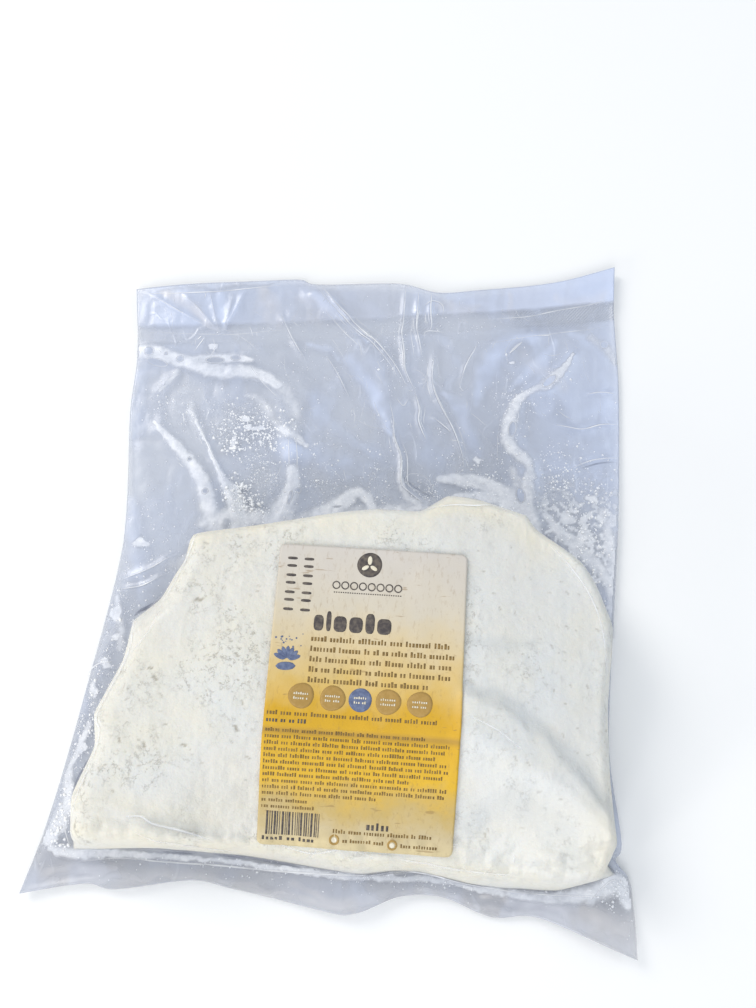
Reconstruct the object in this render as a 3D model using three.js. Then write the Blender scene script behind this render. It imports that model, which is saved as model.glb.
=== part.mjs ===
// Ricotta in a clear vacuum pouch, lying on its back with a paper label on top.
// Millimetres, +Z up. The open lip of the pouch points to +Y, its lower seal to -Y.
// The pouch is one closed solid out to the outer face of its film, contents included.
import * as THREE from "three";

// Pouch outline in plan: each side is a smooth line through these corner and bend points
const POUCH_LEFT = [[-100.2, -120.6], [-94.6, -93], [-89.5, -49.5], [-85.7, -14], [-85.7, 8],
  [-91, 50], [-91.9, 74], [-96.6, 103.9]];
const POUCH_RIGHT = [[100.2, -126.3], [99.3, -105], [94.4, -98.3], [96.6, -92.5], [93.4, -68],
  [93.4, -50], [95.8, -12], [98, 22], [99.2, 72], [97.6, 105], [98.1, 126.3]];
const POUCH_LOWER = [[-100.2, -120.6], [-79.4, -116.3], [-69, -117.2], [-45, -113.2], [-30, -115],
  [0, -119.2], [10, -118.8], [24, -113.2], [38, -112.7], [54, -117.6], [70, -116.8], [100.2, -126.3]];
const POUCH_UPPER = [[-96.6, 103.9], [-75, 107.5], [-51, 110.6], [-31, 113], [-23, 111.2],
  [4, 113], [14, 112.9], [27, 110.2], [44, 112.9], [75, 118.5], [98.1, 126.3]];

// Foot of the ricotta lump, where the upper film meets the lower one
const LUMP_LEFT = [[-85.2, -106.5], [-88.2, -89], [-83.5, -73], [-85.2, -62], [-78.2, -44],
  [-76.4, -30], [-67.5, -21], [-62.3, -9]];
const LUMP_RIGHT = [[94.5, -102.3], [91.3, -98.3], [93.9, -91], [92, -72], [91.6, -50],
  [93.2, -24], [89.4, -13.5], [85.2, -3.4]];
const LUMP_LOWER = [[-85.2, -106.5], [-59, -104.4], [-26, -104.9], [12, -107.8], [29, -105.6],
  [48, -108.6], [75, -108.4], [94.5, -102.3]];
const LUMP_UPPER = [[-62.3, -9], [-55.4, 1.4], [-31.5, 6.9], [-6, 12.6], [9, 14.8], [22, 14.8],
  [31, 20.8], [43, 20.5], [60.5, 15.6], [65.5, 10.2], [76.8, 2.8], [85.2, -3.4]];

// Height of the lump: a slab that thins from its upper edge to a bend, then slopes down to the lower seam
const UPPER_HEIGHT = 31;
const UPPER_Y = 15;
const BEND_HEIGHT = 27.5;
const BEND_Y = -54;
const BEND_CENTRE_X = 18;
const BEND_FALL = 36;
const BEND_HALF_WIDTH = 72;
const LOWEST_BEND_Y = -96;
const SEAM_Y = -107;
const SLOPE_DROP = 14;
const SLOPE_POWER = 1.35;
const SLOPE_HALF_WIDTH = 98;
const SLOPE_FADE = 60;
const SURFACE_WAVE = { height: 0.7, across: 13, along: 17, startAcross: 0.6, startAlong: -0.4 };

// How far the rounded shoulder of the lump reaches in from each side of its foot
const SHOULDER = { left: 14, right: 9, lower: 8, upper: 7 };
const SHOULDER_POWER = 2.3;
const UNDERSIDE_ROUNDING = 12;

// Film round the lump: both sheets together, lying just clear of the table
const FILM_THICKNESS = 1.2;
const FILM_LIFT = 0.7;
const FILM_WAVE = { height: 0.6, across: 15, along: 19, startAcross: 0.5, startAlong: 0 };
const LIP_CURL = 1.2;
const LIP_START_Y = 84;
const LIP_END_Y = 124;
const LIP_LEFT_SHARE = 0.4;
const LIP_RISE_START_X = 30;
const LIP_RISE_END_X = 98;
const HEM_CURL = 1.6;
const HEM_START_Y = -109;
const HEM_END_Y = -124;
const HEM_RIPPLE = 11;

// Raised lines in the empty film: channels of whey between the sheets, and folds
const RAISED_FADE = 6;
const CHANNELS = [
  { halfWidth: 4.4, height: 1.1, points: [[-92, 77], [-61, 69], [-48, 70], [-30, 54], [-25, 30], [-26, 12]] },
  { halfWidth: 3.4, height: 1, points: [[-78.3, 43.9], [-61.6, 27.9], [-49, 8]] },
  { halfWidth: 2.4, height: 0.8, points: [[-66.5, 51.4], [-53.9, 29.4], [-42.9, 8]] },
  { halfWidth: 3.6, height: 1.2, points: [[80.4, 84.9], [59.7, 64.7], [55.8, 49], [64.3, 32], [66, 16]] },
];
const FOLDS = [
  { halfWidth: 3, height: 1.2, points: [[-23.7, 112], [5, 85.4], [16.4, 69], [22, 50]] },
  { halfWidth: 3, height: 1.3, points: [[13.4, 114], [14, 80], [22.3, 58.8], [15.7, 30], [25, 18]] },
  { halfWidth: 3.2, height: 1.4, points: [[25.3, 112], [30.4, 98.5], [27, 72], [38.5, 40.8], [40, 20]] },
];

// Heat seal across the top, a pressed band that climbs a little to the right
const SEAL_LEFT_Y = 82.5;
const SEAL_RIGHT_Y = 107;
const SEAL_BOW = 8;
const SEAL_HALF_LENGTH = 100;
const SEAL_HALF_WIDTH = 4;
const SEAL_EDGE = 1.2;
const SEAL_PRESS = 0.2;

// Label: a paper rectangle with small round corners, stuck on the lump
const LABEL_WIDTH = 62.2;
const LABEL_LENGTH = 94.5;
const LABEL_CENTRE = [8.1, -51.5];
const LABEL_CORNER = 2.3;
const LABEL_THICKNESS = 0.4;
const LABEL_GAP = 0.3;

// Steps of the meshes: columns are left film, lump and right film; rows are lower film, lump and upper film
const POUCH_COLUMNS = [4, 34, 2];
const POUCH_ROWS = [3, 22, 18];
const EDGE_CROWDING = 0.45;
const LABEL_COLUMNS = 14;
const LABEL_ROWS = 22;
const CURVE_SAMPLES = 80;
const SEARCH_STEPS = 40;

const spline = (points) => new THREE.SplineCurve(points.map(([x, y]) => new THREE.Vector2(x, y)));
const smooth = (value, from, to) => THREE.MathUtils.smoothstep(value, from, to);
const mix = THREE.MathUtils.lerp;
const ripple = (wave, x, y) =>
  wave.height * Math.sin(x / wave.across + wave.startAcross) * Math.cos(y / wave.along + wave.startAlong);

const pouch = {
  left: spline(POUCH_LEFT),
  right: spline(POUCH_RIGHT),
  lower: spline(POUCH_LOWER),
  upper: spline(POUCH_UPPER),
};
const lump = {
  left: spline(LUMP_LEFT),
  right: spline(LUMP_RIGHT),
  lower: spline(LUMP_LOWER),
  upper: spline(LUMP_UPPER),
};

// Distance from a point to a sampled line
function distanceTo(samples, x, y) {
  let nearest = Infinity;
  for (let i = 1; i < samples.length; i++) {
    const a = samples[i - 1];
    const b = samples[i];
    const dx = b.x - a.x;
    const dy = b.y - a.y;
    const along = THREE.MathUtils.clamp(((x - a.x) * dx + (y - a.y) * dy) / (dx * dx + dy * dy), 0, 1);
    nearest = Math.min(nearest, Math.hypot(a.x + along * dx - x, a.y + along * dy - y));
  }
  return nearest;
}

const footSamples = Object.fromEntries(
  Object.entries(lump).map(([side, curve]) => [side, curve.getSpacedPoints(CURVE_SAMPLES)]));
const footRing = [
  ...footSamples.lower,
  ...footSamples.right.slice(1),
  ...[...footSamples.upper].reverse().slice(1),
  ...[...footSamples.left].reverse().slice(1),
];
const channelSamples = [...CHANNELS, ...FOLDS].map((line) => ({
  ...line,
  samples: spline(line.points).getSpacedPoints(CURVE_SAMPLES),
}));

// Level of the lump's top before its shoulders are rounded off
function slabHeight(x, y) {
  const across = (x - BEND_CENTRE_X) / BEND_HALF_WIDTH;
  const bendY = Math.max(BEND_Y - BEND_FALL * across * across, LOWEST_BEND_Y);
  const level = mix(BEND_HEIGHT, UPPER_HEIGHT, (y - BEND_Y) / (UPPER_Y - BEND_Y));
  const down = Math.max(0, (bendY - y) / (bendY - SEAM_Y));
  const middle = smooth(SLOPE_HALF_WIDTH - Math.abs(x - BEND_CENTRE_X), 0, SLOPE_FADE);
  return level - SLOPE_DROP * middle * Math.pow(down, SLOPE_POWER) + ripple(SURFACE_WAVE, x, y);
}

// How much of the slab's height stands at a point: 0 at the foot, 1 past the shoulders
function shoulder(x, y) {
  let share = 1;
  for (const [side, reach] of Object.entries(SHOULDER)) {
    const away = Math.min(distanceTo(footSamples[side], x, y) / reach, 1);
    share *= 1 - Math.pow(1 - away, SHOULDER_POWER);
  }
  return share;
}

// Underside of the film away from the lump
function filmUnderside(x, y) {
  const wave = FILM_WAVE.height + ripple(FILM_WAVE, x, y);
  const lipShare = mix(LIP_LEFT_SHARE, 1, smooth(x, LIP_RISE_START_X, LIP_RISE_END_X));
  const lip = LIP_CURL * lipShare * smooth(y, LIP_START_Y, LIP_END_Y);
  const hem = HEM_CURL * smooth(-y, -HEM_START_Y, -HEM_END_Y) * (1 + Math.sin(x / HEM_RIPPLE));
  return FILM_LIFT + wave + lip + hem;
}

function raisedLines(x, y) {
  let raised = 0;
  for (const { halfWidth, height, samples } of channelSamples) {
    const away = distanceTo(samples, x, y) / halfWidth;
    raised = Math.max(raised, height * Math.exp(-away * away));
  }
  return raised;
}

function sealPress(x, y) {
  const across = (x + SEAL_HALF_LENGTH) / (2 * SEAL_HALF_LENGTH);
  const sealY = mix(SEAL_LEFT_Y, SEAL_RIGHT_Y, across) - SEAL_BOW * across * (1 - across);
  const away = Math.abs(y - sealY);
  return SEAL_PRESS * (1 - smooth(away, SEAL_HALF_WIDTH - SEAL_EDGE, SEAL_HALF_WIDTH + SEAL_EDGE));
}

function undersideHeight(x, y, onLump) {
  const inward = onLump ? smooth(distanceTo(footRing, x, y), 0, UNDERSIDE_ROUNDING) : 0;
  return filmUnderside(x, y) * (1 - inward);
}

function topHeight(x, y, onLump) {
  const film = filmUnderside(x, y) + FILM_THICKNESS;
  if (onLump) return mix(film, slabHeight(x, y), shoulder(x, y));
  return film + raisedLines(x, y) * smooth(distanceTo(footRing, x, y), 0, RAISED_FADE) - sealPress(x, y);
}

// Share of the way along a curve at which one of its coordinates reaches a value
function shareWhere(curve, axis, value) {
  let low = 0;
  let high = 1;
  for (let step = 0; step < SEARCH_STEPS; step++) {
    const middle = (low + high) / 2;
    if (curve.getPointAt(middle)[axis] < value) low = middle;
    else high = middle;
  }
  return (low + high) / 2;
}

const stretch = (curve, from, to) => (share) => curve.getPointAt(mix(from, to, share));
const straight = (a, b) => (share) => new THREE.Vector2().lerpVectors(a, b, share);

// Point of a four-sided patch bounded by two lines across it and two along it
function patchPoint({ lower, upper, left, right }, s, t) {
  const point = lower(s).multiplyScalar(1 - t).addScaledVector(upper(s), t);
  point.addScaledVector(left(t), 1 - s).addScaledVector(right(t), s);
  point.addScaledVector(lower(0), -(1 - s) * (1 - t)).addScaledVector(lower(1), -s * (1 - t));
  return point.addScaledVector(upper(0), -(1 - s) * t).addScaledVector(upper(1), -s * t);
}

// One side of the pouch in three stretches, cut level with the two ends of the lump's side
function cutSide(side, axis) {
  const cuts = [0, 1].map((end) => shareWhere(pouch[side], axis, lump[side].getPointAt(end)[axis]));
  return [[0, cuts[0]], cuts, [cuts[1], 1]].map(([from, to]) => stretch(pouch[side], from, to));
}

// A side of the lump, with the straight lines that carry it on to the pouch's edge
function carriedSide(start, side, end) {
  const curve = lump[side];
  return [straight(start, curve.getPointAt(0)), stretch(curve, 0, 1), straight(curve.getPointAt(1), end)];
}

// Nine patches: the lump in the middle and the film round it
function planPatches() {
  const [left, right] = [cutSide("left", "y"), cutSide("right", "y")];
  const [lower, upper] = [cutSide("lower", "x"), cutSide("upper", "x")];
  const across = [
    lower,
    carriedSide(left[1](0), "lower", right[1](0)),
    carriedSide(left[1](1), "upper", right[1](1)),
    upper,
  ];
  const along = [
    left,
    carriedSide(lower[1](0), "left", upper[1](0)),
    carriedSide(lower[1](1), "right", upper[1](1)),
    right,
  ];
  return (column, row) => ({
    lower: across[row][column],
    upper: across[row + 1][column],
    left: along[column][row],
    right: along[column + 1][row],
  });
}

// Steps along one direction: which patch each grid line falls in, and how far across it
function gridLines(counts) {
  const lines = [];
  counts.forEach((count, patch) => {
    for (let step = 0; step < count; step++) {
      const even = step / count;
      const crowded = 0.5 - 0.5 * Math.cos(Math.PI * even);
      lines.push({ patch, share: patch === 1 ? mix(even, crowded, EDGE_CROWDING) : even });
    }
  });
  lines.push({ patch: counts.length - 1, share: 1 });
  return lines;
}

// Closed mesh of two sheets over the same grid, split into triangles alike and joined round the rim
function sheetPair(columns, rows, topPoint, undersidePoint) {
  const positions = [];
  for (const place of [topPoint, undersidePoint]) {
    for (let row = 0; row <= rows; row++) {
      for (let column = 0; column <= columns; column++) positions.push(...place(column, row));
    }
  }
  const sheetSize = (columns + 1) * (rows + 1);
  const at = (column, row, sheet) => sheet * sheetSize + row * (columns + 1) + column;
  const triangles = [];
  for (let row = 0; row < rows; row++) {
    for (let column = 0; column < columns; column++) {
      for (const sheet of [0, 1]) {
        const [a, b, c, d] = [at(column, row, sheet), at(column + 1, row, sheet),
          at(column + 1, row + 1, sheet), at(column, row + 1, sheet)];
        triangles.push(...(sheet === 0 ? [a, b, c, a, c, d] : [a, c, b, a, d, c]));
      }
    }
  }
  const rim = [];
  for (let column = 0; column < columns; column++) rim.push([column, 0]);
  for (let row = 0; row < rows; row++) rim.push([columns, row]);
  for (let column = columns; column > 0; column--) rim.push([column, rows]);
  for (let row = rows; row > 0; row--) rim.push([0, row]);
  rim.forEach(([column, row], index) => {
    const [nextColumn, nextRow] = rim[(index + 1) % rim.length];
    const [topA, topB] = [at(column, row, 0), at(nextColumn, nextRow, 0)];
    const [lowA, lowB] = [at(column, row, 1), at(nextColumn, nextRow, 1)];
    triangles.push(lowA, lowB, topB, lowA, topB, topA);
  });
  const geometry = new THREE.BufferGeometry();
  geometry.setAttribute("position", new THREE.Float32BufferAttribute(positions, 3));
  geometry.setIndex(triangles);
  geometry.computeVertexNormals();
  return geometry;
}

function pouchGeometry() {
  const patchAt = planPatches();
  const columns = gridLines(POUCH_COLUMNS);
  const rows = gridLines(POUCH_ROWS);
  const plan = rows.map((row) => columns.map((column) => {
    const point = patchPoint(patchAt(column.patch, row.patch), column.share, row.share);
    const onFoot = (line) => line.patch === 1 || (line.patch === 2 && line.share === 0);
    const onLump = onFoot(column) && onFoot(row);
    return { x: point.x, y: point.y, onLump };
  }));
  const topPoint = (column, row) => {
    const { x, y, onLump } = plan[row][column];
    return [x, y, topHeight(x, y, onLump)];
  };
  const undersidePoint = (column, row) => {
    const { x, y, onLump } = plan[row][column];
    return [x, y, undersideHeight(x, y, onLump)];
  };
  return sheetPair(columns.length - 1, rows.length - 1, topPoint, undersidePoint);
}

// Grid line positions across the label, the first and last step as wide as the round corner
function labelLines(size, steps) {
  const inner = size - 2 * LABEL_CORNER;
  const lines = [-size / 2];
  for (let step = 0; step <= steps - 2; step++) lines.push(-inner / 2 + (inner * step) / (steps - 2));
  lines.push(size / 2);
  return lines;
}

// Moves the sharp corner of the grid onto the corner's arc
function roundedPlace(x, y) {
  const beyondX = Math.abs(x) - (LABEL_WIDTH / 2 - LABEL_CORNER);
  const beyondY = Math.abs(y) - (LABEL_LENGTH / 2 - LABEL_CORNER);
  if (beyondX <= 0 || beyondY <= 0) return [x, y];
  const excess = 1 - LABEL_CORNER / Math.hypot(beyondX, beyondY);
  return [x - Math.sign(x) * beyondX * excess, y - Math.sign(y) * beyondY * excess];
}

function labelGeometry() {
  const xs = labelLines(LABEL_WIDTH, LABEL_COLUMNS);
  const ys = labelLines(LABEL_LENGTH, LABEL_ROWS);
  const place = (rise) => (column, row) => {
    const [x, y] = roundedPlace(xs[column], ys[row]);
    const [planX, planY] = [x + LABEL_CENTRE[0], y + LABEL_CENTRE[1]];
    return [planX, planY, topHeight(planX, planY, true) + rise];
  };
  return sheetPair(LABEL_COLUMNS, LABEL_ROWS, place(LABEL_GAP + LABEL_THICKNESS), place(LABEL_GAP));
}

function makePouch() {
  const film = new THREE.MeshStandardMaterial({ color: 0xe4e4dc, roughness: 0.3, metalness: 0 });
  const mesh = new THREE.Mesh(pouchGeometry(), film);
  mesh.name = "pouch";
  return mesh;
}

function makeLabel() {
  const paper = new THREE.MeshStandardMaterial({ color: 0xdcb865, roughness: 0.75, metalness: 0 });
  const mesh = new THREE.Mesh(labelGeometry(), paper);
  mesh.name = "label";
  return mesh;
}

// The origin is the middle of the pack's footprint, on the table
const pack = new THREE.Group();
pack.add(makePouch(), makeLabel());
const bounds = new THREE.Box3().setFromObject(pack);
const centre = bounds.getCenter(new THREE.Vector3());
pack.position.set(-centre.x, -centre.y, -bounds.min.z);

export default pack;
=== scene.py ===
# Ricotta in a clear vacuum pouch with a paper label: the looks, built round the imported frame.
# Shapes are worked out in millimetres and turned into metres where a mesh is made.
from math import cos, pi, radians, sin

import bpy
import numpy as np
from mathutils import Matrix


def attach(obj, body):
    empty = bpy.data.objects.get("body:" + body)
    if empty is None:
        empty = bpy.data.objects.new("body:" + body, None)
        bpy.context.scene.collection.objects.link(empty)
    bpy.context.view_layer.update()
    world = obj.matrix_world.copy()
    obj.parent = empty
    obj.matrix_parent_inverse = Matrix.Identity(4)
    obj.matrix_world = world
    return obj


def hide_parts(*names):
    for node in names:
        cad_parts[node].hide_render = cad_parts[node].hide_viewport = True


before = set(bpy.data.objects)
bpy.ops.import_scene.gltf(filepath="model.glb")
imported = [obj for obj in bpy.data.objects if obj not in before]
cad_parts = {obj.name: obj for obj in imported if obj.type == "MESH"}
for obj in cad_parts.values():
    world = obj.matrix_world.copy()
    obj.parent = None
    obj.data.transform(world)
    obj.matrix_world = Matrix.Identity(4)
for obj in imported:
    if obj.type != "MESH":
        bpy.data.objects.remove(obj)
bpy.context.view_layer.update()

MM = 0.001

# Pouch and lump outlines in plan, as in the solids: corner and bend points of smooth lines
POUCH_LEFT = [(-100.2, -120.6), (-94.6, -93), (-89.5, -49.5), (-85.7, -14), (-85.7, 8),
              (-91, 50), (-91.9, 74), (-96.6, 103.9)]
POUCH_RIGHT = [(100.2, -126.3), (99.3, -105), (94.4, -98.3), (96.6, -92.5), (93.4, -68),
               (93.4, -50), (95.8, -12), (98, 22), (99.2, 72), (97.6, 105), (98.1, 126.3)]
POUCH_LOWER = [(-100.2, -120.6), (-79.4, -116.3), (-69, -117.2), (-45, -113.2), (-30, -115), (0, -119.2),
               (10, -118.8), (24, -113.2), (38, -112.7), (54, -117.6), (70, -116.8), (100.2, -126.3)]
POUCH_UPPER = [(-96.6, 103.9), (-75, 107.5), (-51, 110.6), (-31, 113), (-23, 111.2), (4, 113),
               (14, 112.9), (27, 110.2), (44, 112.9), (75, 118.5), (98.1, 126.3)]
LUMP_LEFT = [(-85.2, -106.5), (-88.2, -89), (-83.5, -73), (-85.2, -62), (-78.2, -44), (-76.4, -30),
             (-67.5, -21), (-62.3, -9)]
LUMP_RIGHT = [(94.5, -102.3), (91.3, -98.3), (93.9, -91), (92, -72), (91.6, -50), (93.2, -24),
              (89.4, -13.5), (85.2, -3.4)]
LUMP_LOWER = [(-85.2, -106.5), (-59, -104.4), (-26, -104.9), (12, -107.8), (29, -105.6), (48, -108.6),
              (75, -108.4), (94.5, -102.3)]
LUMP_UPPER = [(-62.3, -9), (-55.4, 1.4), (-31.5, 6.9), (-6, 12.6), (9, 14.8), (22, 14.8), (31, 20.8),
              (43, 20.5), (60.5, 15.6), (65.5, 10.2), (76.8, 2.8), (85.2, -3.4)]
LUMP_PULL, LUMP_STEPS = 0.5, 6

# Height of the lump, its shoulders and the film round it, as in the solids
UPPER_HEIGHT, UPPER_Y = 31, 15
BEND_HEIGHT, BEND_Y = 27.5, -54
BEND_CENTRE_X, BEND_HALF_WIDTH, BEND_FALL = 18, 72, 36
LOWEST_BEND_Y, SEAM_Y = -96, -107
SLOPE_DROP, SLOPE_POWER = 14, 1.35
SLOPE_HALF_WIDTH, SLOPE_FADE = 98, 60
SURFACE_WAVE, WAVE_ACROSS, WAVE_UP = 0.7, 13, 17
SHOULDER = {"left": 14, "right": 9, "lower": 8, "upper": 7}
SHOULDER_POWER = 2.3
UNDERSIDE_ROUNDING = 12
FOOT_REACH, RIM_REACH = 15, 5
FILM_THICKNESS = 1.2
FILM_LIFT, FILM_WAVE, FILM_WAVE_ACROSS, FILM_WAVE_UP = 0.7, 0.6, 15, 19
LIP_START_Y, LIP_END_Y, LIP_CURL = 84, 124, 1.2
LIP_LEFT_SHARE, LIP_RISE_START_X, LIP_RISE_END_X = 0.4, 30, 98
HEM_START_Y, HEM_END_Y, HEM_CURL, HEM_RIPPLE = -109, -124, 1.6, 11
RAISED_FADE = 6

# Low swellings where whey stands in the empty film: (half width, height, points)
CHANNELS = [
    (4.4, 1.1, [(-92, 77), (-80, 75.3), (-61, 69.5), (-48, 70), (-36, 64), (-30, 54), (-26.9, 44.7)]),
    (2.6, 0.6, [(-74.7, 68.7), (-77, 65), (-81, 60)]),
    (3.4, 0.9, [(-27.5, 43.6), (-25.3, 30), (-24.6, 22), (-26, 12)]),
    (3.4, 1, [(-78.3, 43.9), (-68.4, 35), (-61.6, 27.9), (-56.7, 19), (-49, 8)]),
    (2, 0.8, [(-66.5, 51.4), (-58.3, 37.2), (-49.8, 22.9), (-42.9, 8)]),
    (3.6, 1.2, [(80.4, 84.9), (72, 73.4), (59.7, 64.7), (55.8, 49), (62.4, 40.4), (64.3, 32), (66, 16)]),
    (4, 0.9, [(-24, 106), (-8, 93), (4, 78), (10, 62), (12, 48)]),
    (4, 0.8, [(66, 93), (54, 89), (47, 80), (42, 66), (42, 50)]),
]
# Sharp folds of the empty film: (half width, height, points)
FOLDS = [
    (1.7, 1.3, [(-21, 110.1), (-16, 103.8), (-11, 98.6), (-5, 92.8), (3.8, 85.2), (11.3, 75.9),
                (16.3, 67.4)]),
    (1.5, 0.9, [(-23.1, 109.9), (-18.4, 103.6), (-7.3, 92.9), (2, 84.9), (8.9, 76.8), (11.9, 72)]),
    (1.8, 1.3, [(13.1, 111.8), (12.9, 96.3), (12.5, 91.2), (13.9, 83.1), (15, 74.7), (20, 65.2)]),
    (1.6, 0.9, [(18.4, 109.8), (18.3, 97.7), (18.5, 93.1), (20.3, 85.6), (21, 81.1)]),
    (1.6, 0.9, [(23.7, 109.6), (23.6, 101.7), (24.4, 95.5), (23.6, 92.9)]),
    (1.2, 0.7, [(21.2, 103.6), (23.9, 105.7), (27.2, 105.1), (28.7, 103.1), (28.6, 99)]),
    (1.6, 1.2, [(25.8, 84.4), (25.8, 79.4), (25.7, 71.4), (28.3, 62.9), (34.6, 51.3), (38.5, 40.8),
                (39.4, 35.3)]),
    (1.1, 0.6, [(17.2, 75.8), (20.9, 74.6), (23.3, 71.8), (22, 69.7), (20.2, 70.1)]),
    (1.8, 1.1, [(9.7, 60.7), (11.5, 53.6), (12.3, 46.5), (15.5, 37.9), (16, 28.2), (18.8, 24.8),
                (25.5, 20.3)]),
    (1.5, 0.9, [(19.2, 66.2), (21.2, 59), (21.2, 54.2), (22.8, 49.6), (24.7, 45.9)]),
    (1.2, 0.7, [(26, 56), (31.5, 52.1), (34.2, 49.4)]),
    (1.2, 0.7, [(12.2, 62.8), (15.1, 59.6), (17.1, 63.1)]),
    (1.6, 0.5, [(-60.2, 86.6), (-74, 93.1), (-91.9, 102.4)]),
    (1.4, 0.4, [(-60.2, 86.6), (-63.8, 90.3), (-70.9, 97.4), (-78, 103.3)]),
    (1.4, 0.35, [(-60.3, 87.1), (-61.7, 89.9), (-66.4, 104.4)]),
    (1.4, 0.35, [(-59.5, 87.2), (-57.9, 93), (-56.7, 104.7)]),
    (1.4, 0.35, [(-59.2, 86.6), (-55.7, 96), (-52.2, 106.2)]),
    (1.6, 0.8, [(99, 57.5), (92, 57), (84, 54.4), (74, 55.5)]),
    (1.5, 0.7, [(98, 70.5), (91, 70.4), (86, 69)]),
    (1.4, 0.7, [(99, 44), (88, 42), (80, 38)]),
    (1.5, 0.8, [(-83, -15.5), (-74, -11.2), (-66.7, -5.8)]),
    (1.5, 0.8, [(-83.1, -19.2), (-75, -17.2), (-68.3, -12.6)]),
    (1.5, 0.7, [(-91, -50), (-87, -46), (-82, -45)]),
    (1.4, 0.7, [(-36.5, 96), (-30, 84), (-24.5, 76)]),
    (1.4, 0.6, [(-17, 79), (-12, 72), (-6.5, 62)]),
    (1.3, 0.6, [(43, 88), (38.5, 78), (36.5, 68)]),
    (1.3, 0.6, [(55.8, 84.6), (58, 87.5), (61, 90)]),
]

# Camera: a hand-held one over the lower half of the pack, tilted towards its lip
CAMERA_PLACE = (13.06, -58.83, 276)
CAMERA_TILT, CAMERA_TURN = radians(16), radians(3.8)
FOCAL_PIXELS, LONG_SIDE_PIXELS, SENSOR_MM = 757, 1008, 36


def spline(points, steps=12, pull=1.0):
    """A smooth line through the points. A small pull keeps it close to straight between them."""
    points = np.array(points, float)
    padded = np.vstack([points[:1], points, points[-1:]])
    t = np.linspace(0, 1, steps, endpoint=False)[:, None]
    spans = []
    for a, b, c, d in zip(padded, padded[1:], padded[2:], padded[3:]):
        start, end = pull * (c - a) / 2, pull * (d - b) / 2
        cubic, square = 2 * b - 2 * c + start + end, 3 * c - 3 * b - 2 * start - end
        spans.append(cubic * t ** 3 + square * t ** 2 + start * t + b)
    return np.vstack(spans + [points[-1:]])


def along(line, shares):
    """Points at those shares of a line's length."""
    reach = np.concatenate([[0], np.cumsum(np.hypot(*np.diff(line, axis=0).T))])
    places = np.asarray(shares) * reach[-1]
    return np.stack([np.interp(places, reach, line[:, axis]) for axis in (0, 1)], -1)


def smooth(value, low, high):
    """Eases from 0 at the low value to 1 at the high one."""
    share = np.clip((value - low) / (high - low), 0, 1)
    return share * share * (3 - 2 * share)


def mix(a, b, share):
    return a + (b - a) * share


def measure(line, x, y, reach):
    """Distance to a line, up to a reach, the side (1 left of its direction) and the share of the way."""
    shape, x, y = x.shape, x.ravel(), y.ravel()
    nearest, side, reached = np.full(x.shape, float(reach)), np.ones(x.shape), np.zeros(x.shape)
    for index, (start, end) in enumerate(zip(line, line[1:])):
        low, high = np.minimum(start, end) - reach, np.maximum(start, end) + reach
        near = np.flatnonzero((x > low[0]) & (x < high[0]) & (y > low[1]) & (y < high[1]))
        step = end - start
        dx, dy = x[near] - start[0], y[near] - start[1]
        share = np.clip((dx * step[0] + dy * step[1]) / step.dot(step), 0, 1)
        dx, dy = dx - share * step[0], dy - share * step[1]
        away = np.hypot(dx, dy)
        closer = away < nearest[near]
        chosen = near[closer]
        nearest[chosen] = away[closer]
        side[chosen] = np.where(step[0] * dy[closer] < step[1] * dx[closer], -1, 1)
        reached[chosen] = (index + share[closer]) / (len(line) - 1)
    return nearest.reshape(shape), side.reshape(shape), reached.reshape(shape)


def stroke(stops, x, y, core=0.35):
    """A soft band along (x, y, half width) stops: 1 along its middle, 0 past its edges."""
    line = spline(stops, 6)
    away, _, reached = measure(line[:, :2], x, y, line[:, 2].max())
    width = np.interp(reached, np.linspace(0, 1, len(line)), line[:, 2])
    return 1 - smooth(away / np.maximum(width, 0.1), core, 1)


def brush(strokes, x, y, core=0.35):
    """The strongest of several strokes at each point, from (strength, stops) pairs."""
    painted = np.zeros(x.shape)
    for strength, stops in strokes:
        painted = np.maximum(painted, strength * stroke(stops, x, y, core))
    return painted


def inside(ring, x, y):
    """Whether each point lies inside a closed ring."""
    odd = np.zeros(x.shape, bool)
    for (ax, ay), (bx, by) in zip(ring, np.roll(ring, -1, axis=0)):
        if ay != by:
            odd ^= ((ay > y) != (by > y)) & (x < (bx - ax) * (y - ay) / (by - ay) + ax)
    return odd


class Noise:
    """Smooth random heights between -1 and 1 over the plan, the same on each run."""

    def __init__(self, seed, size=97):
        self.values = np.random.default_rng(seed).uniform(-1, 1, (size, size))
        self.size = size

    def __call__(self, x, y, cell):
        u, v = x / cell, y / cell
        column, row = np.floor(u).astype(int), np.floor(v).astype(int)
        s, t = u - column, v - row
        s, t = s * s * (3 - 2 * s), t * t * (3 - 2 * t)
        at = lambda dx, dy: self.values[(row + dy) % self.size, (column + dx) % self.size]
        return mix(mix(at(0, 0), at(1, 0), s), mix(at(0, 1), at(1, 1), s), t)


def closed_ring(sides):
    """The four side lines joined into one ring that ends where it starts."""
    upper, left = sides["upper"][-2::-1], sides["left"][-2::-1]
    return np.vstack([sides["lower"], sides["right"][1:], upper, left])


pouch = {side: spline(points) for side, points in
         {"left": POUCH_LEFT, "right": POUCH_RIGHT, "lower": POUCH_LOWER, "upper": POUCH_UPPER}.items()}
lump = {side: spline(points, LUMP_STEPS, LUMP_PULL) for side, points in
        {"left": LUMP_LEFT, "right": LUMP_RIGHT, "lower": LUMP_LOWER, "upper": LUMP_UPPER}.items()}
pouch_ring, foot = closed_ring(pouch), closed_ring(lump)


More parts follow.
